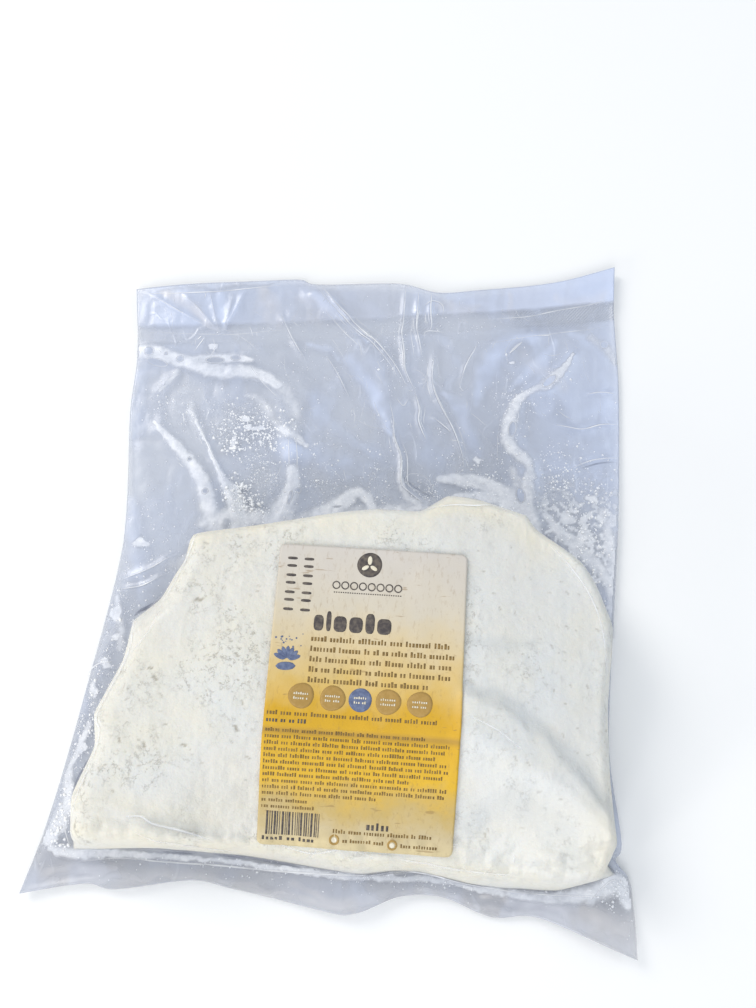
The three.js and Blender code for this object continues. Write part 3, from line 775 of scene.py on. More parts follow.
def make_film():
    """The closed film: an upper sheet over the contents and a lower sheet under them."""
    x, y = coons(pouch, spread(FILM_COLUMNS), spread(FILM_ROWS, *FILM_UP))
    film = Film(x, y)
    loose = smooth(film.outward, -FOOT_EDGE, FOOT_EDGE)
    sky, warm_highlight, shade = film_tones(x, y, film)
    # The upper sheet is less clear where painted sky reflection, warm highlight or shade lies on it
    veil = mix(FILM_VEIL["lump"], FILM_VEIL["margin"], loose)
    veil = mix(veil, FILM_VEIL["bright"], np.maximum(sky, warm_highlight))
    veil = mix(veil, FILM_VEIL["shade"], shade)
    clear = 1 - WHEY_CLEARING * whey_share(x, y, film.outward) * loose
    veil, sky, warm_highlight = veil * clear, sky * clear, warm_highlight * clear
    knurl = np.maximum(stroke(KNURL_RIGHT, x, y, 0.8), BUNDLE_STRENGTH * stroke(KNURL_BUNDLE, x, y, 0.6))
    knurl *= loose
    points, faces = closed_lid(x, y, film.top, lambda px, py: Film(px, py).underside, FILM_RINGS)
    below = len(points) - x.size
    fields = {"veil": (veil, FILM_VEIL["lower"]), "loose": (loose, 0), "sky": (sky, 0), "warm_highlight": (warm_highlight, 0),
              "shade": (shade, 0), "knurl": (knurl, 0), "lower": (np.zeros(x.shape), 1)}
    fields = {name: np.concatenate([upper.ravel(), np.full(below, lower)])
              for name, (upper, lower) in fields.items()}
    return make_mesh("film", points, faces, film_material(), fields)


# Thin lines on the film: (half width, strength, points). Glints are painted highlights, gap shadows are
# painted shade

GLINTS = [
    (0.5, 0.8, [(-94.6, 101.6), (-86.9, 102.1), (-72.5, 103.4), (-57.2, 105.8), (-47.1, 108),
                (-36.9, 110.1)]),
    (0.35, 0.9, [(-69, 83.1), (-68.2, 84), (-67.2, 85)]),
    (0.35, 0.9, [(-69.3, 77.5), (-67.8, 81), (-66.1, 84.5)]),
    (0.45, 1, [(-66.5, 51.4), (-62.8, 44.9), (-58.3, 37.2), (-53.9, 29.4), (-50.5, 24)]),
    (0.4, 0.7, [(-28.2, 43.4), (-27.3, 36), (-26.8, 30.8)]),
    (0.4, 0.7, [(-25.4, 43.6), (-24.2, 36), (-23.8, 30.8)]),
    (0.35, 0.6, [(-47, 73.5), (-43, 68), (-37, 62), (-31, 57)]),
    (0.4, 0.6, [(43.7, 99.1), (54.4, 100.8), (63.7, 102.2), (74.8, 105.4), (88.5, 108.7), (96.9, 112.1)]),
    (0.35, 0.5, [(44, 87.7), (58.1, 91), (68.8, 93.7), (79.5, 96), (88, 97.6), (97, 100.4)]),
    (0.3, 0.4, [(-91.9, 85), (-80.6, 85.2), (-65.2, 85.7), (-52.5, 86.5), (-38.4, 89.1), (-28.8, 89.8)]),
    (0.6, 1, [(55.8, 84.6), (58.5, 87.4), (61, 90)]),
    (0.4, 0.9, [(66.7, 93.4), (71.6, 93.9), (72.2, 95.1)]),
    (0.35, 0.6, [(22, 88.5), (22.2, 92.5), (28, 92.8), (31, 92)]),
    (0.5, 0.8, [(-51.1, -1.8), (-55.5, -12), (-59.7, -22.5), (-61, -25.2)]),
    (0.5, 0.7, [(-61.2, -21.8), (-70.7, -30.8), (-70, -41.7), (-77.8, -62.4), (-75.6, -67.8), (-77.6, -76.8),
                (-79.9, -88.9), (-80, -101)]),
    (0.35, 0.5, [(-60.8, -28.5), (-63.1, -35.2), (-68.2, -42.7)]),
    (0.5, 0.6, [(66.2, 1.6), (73.6, -6.4), (80.1, -16), (83.9, -27.2), (85.2, -41.4)]),
    (0.45, 0.8, [(-8, 10.1), (-2.2, 11.7), (3.7, 12.5), (6.8, 12.3), (9.3, 10), (17.6, 10.6), (24.7, 11)]),
    (0.5, 1, [(24.7, 11), (29.2, 15.4), (32.7, 17.1), (39, 16.7), (44.2, 16), (48.9, 14.7)]),
    (0.4, 0.8, [(25, 10.6), (33, 12.6), (41, 13), (48, 13.5), (56, 10)]),
    (0.6, 0.6, [(-63.6, -92.4), (-58, -91.8), (-53.8, -93.8), (-45.4, -95.6), (-36.8, -98.5)]),
    (0.6, 0.5, [(-23, -95.8), (-19, -98.4), (-15.5, -98.8), (-5.3, -101), (5.4, -98.5), (14.9, -100.8)]),
    (0.6, 0.5, [(22.7, -100.6), (32.1, -101.7), (44.7, -103.1), (60.2, -103.2)]),
    (0.5, 0.5, [(58.9, -99.3), (58.8, -96.2)]),
    (0.6, 0.5, [(-59, -96), (-52, -99.5), (-41, -101.5), (-30, -103)]),
    (0.6, 0.5, [(-6, -95), (-4, -99), (-6.5, -102.5)]),
    (0.6, 0.5, [(22, -98), (28, -97.8), (36, -95.6), (41, -94.6)]),
    (0.55, 0.8, [(-84.2, -110.3), (-69.5, -108.1), (-54.4, -108.3), (-36.1, -108.3), (-19.4, -108.7),
                 (0.3, -108.5), (14.2, -107.6), (21.7, -105.8), (33.3, -106.3), (43.3, -108.1),
                 (59.8, -109.7), (76.3, -109.8), (99.2, -108.5)]),
    (0.4, 0.5, [(84, -14.2), (87.5, -22), (88, -34), (88.4, -52)]),
    (0.5, 0.6, [(40.7, -55.1), (50.3, -59.1), (58.3, -64.6)]),
    (0.5, 0.6, [(86.1, -110.4), (93.4, -104), (97.6, -106.7)]),
    (0.4, 0.6, [(-92, -91.6), (-89, -100.8), (-86, -106.1)]),
]
GAP_SHADOWS = [
    (0.8, 0.6, [(-67.8, -20.7), (-70.1, -23.1), (-73, -25.1), (-75.4, -26.7), (-77.2, -28.6)]),
    (0.7, 0.6, [(-84.8, -63.3), (-84.4, -66.3), (-83.5, -68.8), (-83.6, -71.5)]),
    (0.6, 0.5, [(-85, -77.5), (-86.2, -80.5), (-87.4, -83.5), (-88.4, -87.4), (-88.6, -90)]),
    (0.6, 0.4, [(-9.3, 17.2), (-7, 17.4), (-5.2, 17.9)]),
    (0.7, 0.5, [(70.7, 12.5), (72.2, 10.4), (76.2, 7.9)]),
    (0.7, 0.5, [(93.5, -17.6), (94.9, -21.1), (95.2, -25.4)]),
    (0.7, 0.55, [(-56, -104.9), (-52.5, -105.2), (-49.2, -105), (-44, -104.9)]),
    (0.7, 0.6, [(-39, -104.8), (-32.5, -105), (-26.5, -105), (-18, -105.9), (-9, -106.9)]),
    (0.9, 0.6, [(7, -107.9), (12, -107.6), (18.3, -106.4), (22.3, -105.7), (27, -105.6)]),
    (0.7, 0.5, [(37, -106.8), (41.6, -107.6), (45.3, -108.2), (49.2, -108.6), (53.5, -108.7)]),
    (0.5, 0.4, [(60, -108.6), (68, -108.7), (76, -108.6)]),
    (0.6, 0.6, [(92.2, -96.5), (91.2, -98.6), (93, -100.6), (94.8, -102.4)]),
    (0.5, 0.35, [(16.6, 30.8), (20, 27.6), (24.6, 24.8), (28, 23.4)]),
    (0.4, 0.35, [(98, 42), (91, 41), (84, 38.5)]),
]
# (x, y, half length, half width, turn in degrees)
BUBBLES = [
    (-87.2, 76.5, 2, 1.9, 0), (-83.5, 71.9, 4.4, 1.5, -12), (-80.3, 75.8, 0.7, 0.7, 0),
    (-74.5, 73.8, 1.5, 1.4, 0), (-60.6, 74.4, 3.8, 1.6, 4), (-52.6, 75.9, 2.1, 1.2, 0),
    (-65, 32.2, 0.9, 0.9, 0), (-57.3, 19.8, 1.2, 1.2, 0), (-22.4, 22.6, 1.1, 1.1, 0),
    (-25.4, 19.6, 2.8, 0.9, 80), (71.6, 73.4, 3.8, 1.5, 45), (57.4, 52.4, 3.2, 1.5, 80),
    (61.1, 26.2, 3.1, 1.6, 100), (93.6, 91.2, 1.7, 1.6, 0), (22.5, 28.7, 5.2, 3.4, -24),
]
# A strip's edges and inner lines, as shares of its half width
PROFILE = np.array([-1, -0.5, -0.1, 0.5, 1])
CREASE_STEP, CREASE_LIFT, CREASE_CROWN = 0.7, 0.06, 0.06
# A fold's line: a painted highlight, with painted shade on one side
FOLD_LINE = {"half width": 0.52, "glint": 0.95, "dark": 0.35}
COMPANIONS, COMPANION_POINTS, COMPANION_MIN_HEIGHT = 6, 12, 0.8
SCRATCHES, SCRATCH_LEAN = 240, -1.1
# A bubble's outline: a painted highlight with painted shade on one side
BUBBLE_LINE, BUBBLE_GLINT, BUBBLE_DARK = 0.3, 0.45, 0.25

streaky = Noise(9)


class Ribbons:
    """Thin strips that follow lines over the film, with a painted highlight for a core and, on folds, painted
    shade on one side.
    """

    def __init__(self):
        self.plan, self.cover, self.glint, self.faces, self.count = [], [], [], [], 0

    def add(self, line, half_width, glint, dark=0.0, tapered=True):
        steps = max(4, int(np.hypot(*np.diff(line, axis=0).T).sum() / CREASE_STEP))
        shares = np.linspace(0, 1, steps + 1)
        middle = along(line, shares)
        heading = np.gradient(middle, axis=0)
        normal = heading[:, ::-1] * (-1, 1) / np.hypot(*heading.T)[:, None]
        taper = 0.15 + 0.85 * np.sqrt(np.sin(pi * shares)) if tapered else np.ones(steps + 1)
        across = (half_width * taper)[:, None] * PROFILE
        self.plan.append((middle[:, None] + normal[:, None] * across[..., None]).reshape(-1, 2))
        cover = np.array([0, dark, max(glint, dark), max(glint, 0.7 * dark), 0])
        fading = taper * (0.78 + 0.45 * streaky(*middle.T, 3.7))
        self.cover.append((fading[:, None] * cover).ravel())
        self.glint.append(np.tile([0, 0, 1, 1, 1] if glint else [0] * 5, steps + 1))
        number = self.count + np.arange((steps + 1) * len(PROFILE)).reshape(-1, len(PROFILE))
        a, b, c, d = grid_cells(number)
        self.faces.append(np.stack([a, d, c, b], -1).reshape(-1, 4))
        self.count += number.size

    def make(self, name, material):
        plan, crown = np.concatenate(self.plan), CREASE_CROWN * (1 - np.abs(PROFILE))
        x, y = plan.T
        level = Film(x, y).top + CREASE_LIFT + np.resize(crown, len(x))
        fields = {"cover": np.concatenate(self.cover), "glint": np.concatenate(self.glint)}
        return make_mesh(name, np.stack([x, y, level], -1), np.concatenate(self.faces), material, fields)


def add_folds(lines, chance):
    """A line along each fold, a painted highlight with painted shade on one side, and short painted glints
    beside the high folds.
    """
    for _, height, fold in raised_folds:
        glint = FOLD_LINE["glint"] * min(1, height)
        lines.add(fold, FOLD_LINE["half width"], glint, FOLD_LINE["dark"] * height)
        for _ in range(COMPANIONS if height > COMPANION_MIN_HEIGHT else 0):
            start = chance.uniform(0, 0.6)
            beside = along(fold, np.linspace(start, start + chance.uniform(0.2, 0.4), COMPANION_POINTS))
            heading = beside[-1] - beside[0]
            sideways = np.array([-heading[1], heading[0]]) / np.hypot(*heading)
            drift = chance.normal(0, 1.5) + np.linspace(0, chance.normal(0, 0.8), COMPANION_POINTS)
            lines.add(beside + drift[:, None] * sideways, chance.uniform(0.2, 0.45), chance.uniform(0.3, 0.8))


def add_bubbles(lines):
    """An outline round each bubble in the whey: a painted highlight with painted shade on one side."""
    turn = np.linspace(0, 2 * pi, 25)
    for x, y, half_length, half_width, lean in BUBBLES:
        c, d = cos(radians(lean)), sin(radians(lean))
        out, up = half_length * np.cos(turn), half_width * np.sin(turn)
        ring = np.stack([x + out * c - up * d, y + out * d + up * c], -1)
        lines.add(ring, BUBBLE_LINE, BUBBLE_GLINT, BUBBLE_DARK, False)


def add_scratches(lines, chance):
    """Short bent scratches strewn over the empty film, painted bright as glints."""
    for _ in range(SCRATCHES):
        x, y = chance.uniform(-88, 95), chance.uniform(26, 108)
        lean, length = chance.normal(SCRATCH_LEAN, 0.5), chance.uniform(0.8, 1) * chance.exponential(2) + 0.6
        bend = chance.normal(0, 0.3)
        line = [(x, y), (x + length * cos(lean), y + length * sin(lean)),
                (x + length * (cos(lean) + cos(lean + bend)), y + length * (sin(lean) + sin(lean + bend)))]
        if abs(line[-1][0] - 5) < 88 and line[-1][1] > 24:
            lines.add(np.array(line), chance.uniform(0.15, 0.3), chance.uniform(0.2, 0.7))


def make_creases():
    """All thin lines on the film, in one piece."""
    lines = Ribbons()
    chance = np.random.default_rng(8)
    add_folds(lines, chance)
    for half_width, strength, points in GLINTS:
        lines.add(spline(points, 5), half_width, strength)
    for half_width, strength, points in GAP_SHADOWS:
        lines.add(spline(points, 5), half_width, 0, strength)
    add_bubbles(lines)
    add_scratches(lines, chance)
    return lines.make("film_creases", crease_material())


# Ricotta

RICOTTA_COLUMNS, RICOTTA_ROWS = 340, 268
RICOTTA_ACROSS = ([0, 0.33, 0.38, 0.66, 0.7, 1], [1.3, 1.3, 0.6, 0.6, 1.3, 1.3])
RICOTTA_UP = ([0, 0.14, 0.2, 0.84, 0.88, 1], [1.5, 1.5, 1, 1, 1.5, 1.5])
RICOTTA_RINGS = [0, 0.1, 0.3, 0.6]
FILM_GAP, GOUGE_DEPTH = 0.12, 0.4
# Pits in the curd's surface: (depth, cell, shift across, shift up)
PITS = [(0.1, 1.2, 0, 0), (0.22, 3, 30, 0), (0.35, 8, 0, 8)]
HOLLOW_WANDER = 1.5
GOUGES = [(-61.3, -47.3), (-59.3, -50.3), (-31.5, -63.9), (-47.5, -70.1), (-60, -70.9), (-48.1, -24.4),
          (-68, -69.9), (-33.5, -41.3)]
SMALL_GOUGES, GOUGES_ON_RIGHT, GOUGE_REACH = 150, 0.55, 4
# Painted shade in soft hollows, beside the bulge and under the film's creases
SHADED_HOLLOWS = [
    (0.3, [(40, -46, 2), (50, -48, 3), (62, -55, 3.5), (74, -66, 4), (84, -77, 3.5), (89, -86, 2)]),
    (0.25, [(44, -88, 6), (56, -80, 8), (68, -84, 8), (78, -96, 6)]),
    (0.25, [(40, -31, 3), (50, -33, 4), (60, -31, 3)]),
    (0.3, [(87, -60, 2), (90, -75, 3), (91, -92, 3)]),
    (0.3, [(70, 4, 2), (80, -6, 3), (86, -16, 3), (89, -30, 2.5)]),
    (0.25, [(-66, -22, 2), (-72, -30, 2.5), (-76, -40, 2)]),
    (0.2, [(60, -84, 4), (70, -92, 5), (76, -99, 3)]),
    (0.2, [(-60, -90, 4), (-44, -94, 4), (-28, -97, 3)]),
]
CREAM = [
    (0.7, [(-54, -6, 5), (-38, 0, 6), (-20, 3, 8), (-4, 4, 8), (10, 3, 8), (24, 5, 7)]),
    (0.9, [(26, 9, 3), (34, 12, 5), (44, 11, 6), (56, 5, 7), (64, -2, 6)]),
    (0.4, [(-62, -36, 5), (-70, -54, 7), (-72, -76, 7)]),
    (0.35, [(52, -28, 5), (62, -30, 6), (58, -22, 4)]),
    (0.85, [(-78, -97, 5), (-60, -99, 7), (-40, -101, 6), (-16, -101, 6), (8, -103, 5), (30, -103, 6),
            (52, -103, 5), (66, -104, 4)]),
    (0.6, [(-66, -88, 5), (-50, -91, 5), (-34, -94, 5)]),
    (0.5, [(84, -96, 4), (90, -100, 4)]),
]


def curd_gouges(x, y):
    """Short torn marks in the curd, at the plan points: 0 clear, 1 deepest."""
    chance = np.random.default_rng(11)
    marks = np.zeros(x.shape)
    places = [(*place, chance.uniform(1.4, 2.4), 0.75) for place in GOUGES]
    for _ in range(SMALL_GOUGES):
        if chance.uniform() < GOUGES_ON_RIGHT:
            place = chance.uniform(42, 88), chance.uniform(-92, 4)
        else:
            place = chance.uniform(-76, -26), chance.uniform(-86, -4)
        places.append((*place, chance.uniform(0.5, 1.3), chance.uniform(0.25, 0.6)))
    for centre_x, centre_y, length, strength in places:
        near = (np.abs(x - centre_x) < GOUGE_REACH) & (np.abs(y - centre_y) < GOUGE_REACH)
        lean, slender = chance.uniform(-0.9, 0.9), chance.uniform(0.25, 0.45)
        dx, dy = x[near] - centre_x, y[near] - centre_y
        out, up = dx * cos(lean) + dy * sin(lean), dy * cos(lean) - dx * sin(lean)
        up = up + 0.25 * np.sin(out * 3)
        away = np.hypot(out / length, up / (length * slender))
        marks[near] = np.maximum(marks[near], strength * (1 - smooth(away, 0.4, 1)))
    return marks


def make_ricotta():
    """The slab of curd, a closed body just inside the film."""
    x, y = coons(lump, spread(RICOTTA_COLUMNS, *RICOTTA_ACROSS), spread(RICOTTA_ROWS, *RICOTTA_UP))
    gouge = curd_gouges(x, y)
    grain = Noise(21)
    shift_x, shift_y = x + HOLLOW_WANDER * grain(x, y, 6), y + HOLLOW_WANDER * grain(x + 9, y, 6)
    fields = {"gouge": gouge, "cream": brush(CREAM, x, y, 0.1),
              "hollow_shade": brush(SHADED_HOLLOWS, shift_x, shift_y, 0.05)}
    pitted = sum(depth * np.abs(grain(x + across, y + up, cell)) for depth, cell, across, up in PITS)
    top = Film(x, y).top - FILM_GAP - GOUGE_DEPTH * gouge - pitted
    underside = lambda px, py: Film(px, py).underside + FILM_GAP
    points, faces = closed_lid(x, y, top, underside, RICOTTA_RINGS)
    below = np.zeros(len(points) - x.size)
    fields = {name: np.concatenate([values.ravel(), below]) for name, values in fields.items()}
    return make_mesh("ricotta", points, faces, ricotta_material(), fields)


# Whey between the sheets, as strokes of (x, y, half width) with a strength

WHEY_STEP = 0.42
WHEY_DEPTH, WHEY_SPREAD = 0.05, 1.3
WHEY_STROKES = [
    (0.95, [(-93, 77, 4.6), (-86.8, 76.2, 4.4), (-72, 72.8, 3.4), (-61, 69.5, 3.6), (-48, 70, 3.6),
            (-40, 68.2, 3.2), (-34.7, 65, 2.4)]),
    (0.45, [(-44, 68, 3), (-36, 66, 4), (-29, 59, 4.4), (-26, 51, 4), (-27, 45, 4)]),
    (0.22, [(-34, 26, 8), (-18, 27, 10), (0, 30, 10), (8, 26, 9)]),
    (0.2, [(36, 36, 8), (52, 38, 10), (70, 40, 10), (86, 44, 10)]),
    (0.4, [(-47, 60, 1), (-42, 59, 2.4), (-36, 52, 3), (-31, 46, 2)]),
    (0.75, [(-76, 73.5, 3), (-61, 74.6, 3), (-52, 75.6, 2.6), (-46, 75, 1.4)]),
    (0.55, [(-74.7, 68.7, 2.2), (-77, 65, 1.6), (-81, 60, 1)]),
    (0.35, [(-68, 56, 2), (-66, 50, 3.4), (-62, 44, 3)]),
    (0.75, [(-32, 47, 2.2), (-27, 44.5, 2.6), (-21.5, 41, 1.8)]),
    (1, [(-25.4, 31, 2.6), (-24.8, 23, 4), (-27, 16, 6), (-30, 7, 9)]),
    (0.85, [(-81, 47, 0.8), (-78.3, 43.9, 1.6), (-72.4, 38.8, 2.4), (-65, 31.6, 3), (-58.6, 23.4, 3.6),
            (-55.4, 14.2, 4.6), (-52, 7, 6)]),
    (0.95, [(-66.5, 51.4, 0.4), (-62.8, 44.9, 0.7), (-58.3, 37.2, 1), (-53.9, 29.4, 1.6), (-49.8, 22.9, 2.6),
            (-45.9, 16.5, 4), (-43, 7, 6)]),
    (0.9, [(81, 86, 0.8), (77.8, 80.6, 1.8), (72, 73.4, 3.4), (64.7, 68.9, 2), (59.7, 64.7, 2.4),
           (56.7, 55.9, 3.8), (55.8, 48.8, 3.2), (58, 43.8, 3.4), (62.4, 40.4, 3.2), (64.5, 36, 2.8),
           (63.3, 27.2, 4.2), (66, 14, 4.6)]),
    (0.9, [(30.7, 30.6, 2), (38, 31, 3.4), (46, 30, 4), (54, 27, 5), (60, 23, 5.5), (64, 17, 5)]),
    (0.9, [(34, 22, 2.6), (42, 24.5, 3), (52, 24, 4), (62, 19, 5)]),
    (0.5, [(58, 36, 3), (60, 30, 5), (58, 24, 6)]),
    (0.9, [(-14, 14, 4), (-6, 18, 4.4), (-1, 23, 3.4), (3, 22, 3), (6, 17, 3)]),
    (0.7, [(12, 17, 4), (18, 17, 3), (24, 19, 3)]),
    (0.5, [(-22, 12, 4), (-12, 14, 4), (0, 16, 4), (12, 17, 4), (26, 21, 3)]),
    (0.7, [(10.7, 54.7, 0.5), (12.2, 47.4, 0.8), (14.8, 38.8, 1), (15.7, 30.1, 1.4), (18, 23.6, 1.8),
           (26, 18, 3)]),
    (0.7, [(-56, 8, 4), (-50, 11, 4), (-44, 12, 4), (-38, 11, 4), (-30, 12, 4)]),
    (0.6, [(44, 20, 4), (60, 15, 4), (68, 12, 3)]),
    (0.85, [(-93, -106.4, 1.2), (-84.8, -107.4, 2.4), (-59.5, -106.4, 1.3), (-26, -107.2, 1.2),
            (0.5, -108.6, 1.4), (17, -108.2, 1.6), (36.7, -107.8, 1.2), (56, -110, 1.8), (76, -110.4, 2.4),
            (92, -106, 4), (99, -104, 2)]),
    (0.8, [(86, -110, 2.5), (94, -104, 4), (98, -110, 3)]),
    (0.9, [(-96, -104, 2), (-92, -100, 4), (-90, -92, 3), (-91, -82, 1.6), (-89, -74, 1.2), (-87, -66, 1.6)]),
    (0.35, [(-86, -62, 2), (-88, -50, 3), (-86, -40, 3), (-82, -30, 2)]),
    (0.45, [(98, 84, 2), (94, 90, 4), (88, 94, 2)]),
    (0.5, [(-84, -22, 1.4), (-82, -30, 2.4), (-80, -40, 2)]),
    (0.8, [(70.6, 19.4, 2), (75, 14, 3), (82, 8.5, 4), (89, 2, 4), (94, -6, 3), (95, -18, 1.6)]),
    (0.7, [(92, 22, 3), (94, 12, 3), (95, 0, 3)]),
]
# Smears of curd pressed flat between the sheets: (x, y, half width, half height)
SMEARS = [
    (-78.5, -1.6, 4, 2), (-83.4, -28, 2.6, 3.4), (-82.6, -36, 2, 1.6), (-84.6, -46, 2.6, 2),
    (-87, -55, 1.8, 3), (-93, -104, 3, 2), (-91, -99, 2.4, 2.6), (-62.2, 80.2, 2.4, 1.7),
    (44.5, 38.9, 2, 1.8), (-49, 41, 1.4, 2),
    (-46.5, 22, 1.6, 2.4), (-44, 12, 2.4, 3), (57.2, 81.5, 1.3, 1.3), (-88, -74, 1.6, 2), (88, 26, 3, 2),
    (79, 18, 3.4, 3), (84, 12, 3, 3.4), (-46, 50, 2.6, 1.4), (-40, 46.5, 3.4, 1.2), (-44, 47, 2, 1),
]
SMEAR_WANDER, BUBBLE_CLEARING = 2, 0.9
WHEY_FULL, WHEY_SOLID, WHEY_LEAST = 0.97, 0.72, 0.02
# Unevenness of the whey's edges, as (height, cell), and of its milkiness
BROAD_WOBBLE, FINE_WOBBLE = (0.4, 3.1), (0.3, 1.1)
BROAD_CLOUDS, FINE_CLOUDS = (0.2, 3.3), (0.12, 1.3)
FOOT_RIM_STRENGTH, POUCH_RIM = 0.75, 0.6
# Spilt flecks on the upper right: (strength, cell, shift across, shift up)
FLECKS = [(0.35, 5, 0, 0), (0.4, 1.9, 0, 90), (0.45, 0.95, 9, 0)]
SPILL_LEFT, SPILL_UPPER, SPILL_LOWER, SPILL_STRENGTH, SPILL_HAZE = 60, 46, -26, 0.95, 0.35


def smears(x, y):
    """The patches of curd pressed flat between the sheets."""
    pressed = np.zeros(x.shape)
    for centre_x, centre_y, half_width, half_height in SMEARS:
        away = np.hypot((x - centre_x) / half_width, (y - centre_y) / half_height)
        pressed = np.maximum(pressed, 1 - smooth(away, 0.7, 1))
    return pressed


def spill(ragged, x, y):
    """Flecks in a thin haze between the sheets, right of the lump's upper end."""
    flecked = sum(share * ragged(x + across, y + up, cell) for share, cell, across, up in FLECKS) + 0.4
    area = smooth(x, SPILL_LEFT, SPILL_LEFT + 12) * smooth(-y, -SPILL_UPPER, -SPILL_UPPER + 26)
    area *= smooth(y, SPILL_LOWER, SPILL_LOWER + 12)
    return SPILL_STRENGTH * area * mix(SPILL_HAZE, 1, smooth(flecked, 0.3, 0.6))


def foot_rim(ragged, x, y, outward):
    """A ragged band along the lump's upper foot."""
    rim = smooth(-outward, -8, -0.5) * smooth(ragged(x, y, 5) + 0.4 * ragged(x, y, 1.6), -0.3, 0.4)
    return FOOT_RIM_STRENGTH * rim * smooth(y, -14, -6)


def whey_share(x, y, outward):
    """How milky the space between the sheets is at each plan point."""
    ragged = Noise(31)
    (broad, broad_cell), (fine, fine_cell) = BROAD_WOBBLE, FINE_WOBBLE
    wobble_x = broad * ragged(x, y, broad_cell) + fine * ragged(x + 50, y, fine_cell)
    wobble_y = broad * ragged(x + 20, y + 70, broad_cell) + fine * ragged(x, y + 30, fine_cell)
    strokes = [(strength, np.multiply(stops, (1, 1, WHEY_SPREAD))) for strength, stops in WHEY_STROKES]
    milk = brush(strokes, x + wobble_x, y + wobble_y, 0.05)
    (broad, broad_cell), (fine, fine_cell) = BROAD_CLOUDS, FINE_CLOUDS
    milk *= 0.95 + broad * ragged(x + 70, y * 0.6, broad_cell) + fine * ragged(x, y + 45, fine_cell)
    milk = WHEY_FULL * smooth(milk, 0, WHEY_SOLID)
    milk = np.maximum(milk, smears(x + SMEAR_WANDER * wobble_x, y + SMEAR_WANDER * wobble_y))
    milk = np.maximum(milk, spill(ragged, x, y))
    milk = np.maximum(milk, foot_rim(ragged, x, y, outward))
    for centre_x, centre_y, half_length, half_width, turn in BUBBLES:
        turn = radians(turn)
        across = ((x - centre_x) * cos(turn) + (y - centre_y) * sin(turn)) / half_length
        up = ((y - centre_y) * cos(turn) - (x - centre_x) * sin(turn)) / half_width
        milk *= 1 - BUBBLE_CLEARING * (1 - smooth(np.hypot(across, up), 0.78, 1.05))
    return milk * smooth(outward, -1, 0.2)


def make_whey():
    """One open sheet just under the film's upper sheet, kept only where there is whey."""
    x, y = np.meshgrid(np.arange(-97, 100, WHEY_STEP), np.arange(-114, 100, WHEY_STEP))
    milk = whey_share(x, y, beside_foot(x, y)[1])
    kept = (milk > WHEY_LEAST) & inside(pouch_ring, x, y) & (measure(pouch_ring, x, y, 1)[0] > POUCH_RIM)
    a, b, c, d = grid_cells(np.arange(x.size).reshape(x.shape))
    whole = np.all([kept.ravel()[corner] for corner in (a, b, c, d)], axis=0)
    used, faces = np.unique(np.stack([a, b, c, d], -1)[whole], return_inverse=True)
    x, y, milk = x.ravel()[used], y.ravel()[used], milk.ravel()[used]
    points = np.stack([x, y, Film(x, y).top - WHEY_DEPTH], -1)
    return make_mesh("whey", points, faces.reshape(-1, 4), whey_material(), {"milk": milk})


# Loose curd between the sheets: (x, y, spread across, spread up, number, smallest, largest radius)

CRUMB_CLUSTERS = [
    (-46, 49, 7, 5, 240, 0.2, 0.7), (-38, 45, 7, 4, 260, 0.2, 0.8), (-62, 51, 8, 6, 170, 0.15, 0.5),
    (-49, 40, 3, 3, 60, 0.3, 1.1), (-78, 54, 6, 4, 90, 0.15, 0.6), (-38, 33, 6, 7, 190, 0.15, 0.55),
    (-91, -98, 3, 5, 160, 0.2, 1), (-89, -60, 3, 12, 160, 0.2, 0.8),
    (-46, 21, 3, 4, 70, 0.3, 1), (-41, 15, 4, 4, 90, 0.3, 1.1), (-36, 20, 8, 8, 260, 0.15, 0.5),
    (-12, 26, 7, 6, 210, 0.15, 0.6), (-20, 38, 7, 9, 130, 0.15, 0.45), (8, 32, 4, 9, 170, 0.15, 0.6),
    (26, 26, 3, 2, 110, 0.15, 0.5), (33, 40, 9, 8, 130, 0.15, 0.45), (50, 30, 7, 6, 220, 0.15, 0.6),
    (57, 60, 4, 9, 260, 0.15, 0.45), (64, 66, 8, 4, 190, 0.15, 0.45), (76, 80, 4, 5, 90, 0.15, 0.4),
    (82, 24, 9, 13, 480, 0.15, 0.75), (76, 34, 8, 8, 300, 0.15, 0.6), (88, 8, 5, 12, 200, 0.2, 0.9),
    (-20, 78, 14, 10, 130, 0.12, 0.4), (10, 82, 5, 9, 170, 0.12, 0.4), (30, 96, 14, 8, 80, 0.12, 0.35),
    (-72, 8, 7, 12, 120, 0.15, 0.5), (-82, -20, 5, 16, 220, 0.15, 0.6), (-86, -48, 4, 18, 240, 0.15, 0.6),
    (-91, -80, 3, 16, 140, 0.15, 0.6), (0, -112, 60, 2.5, 170, 0.12, 0.35), (0, 60, 70, 30, 460, 0.1, 0.3),
    (10, -108, 60, 1, 260, 0.15, 0.45), (95, -107, 3, 4, 120, 0.15, 0.6),
]
# Single flakes that stand out: (x, y, radius)
FLAKES = [
    (-48.5, 38, 0.9), (4.6, 74.5, 0.8), (54.7, 84.5, 0.8), (80.1, 75.1, 0.7), (7.3, 39.1, 0.7),
    (-36, 43, 0.9), (-16, 27, 0.8), (-87.5, -51.5, 0.9), (-82, -30, 0.9), (-93, -102, 1),
]
CRUMB_SIDES = 6
CRUMB_DEPTH, CRUMB_FLATNESS, CRUMB_LIFT = 0.1, 0.35, 0.32


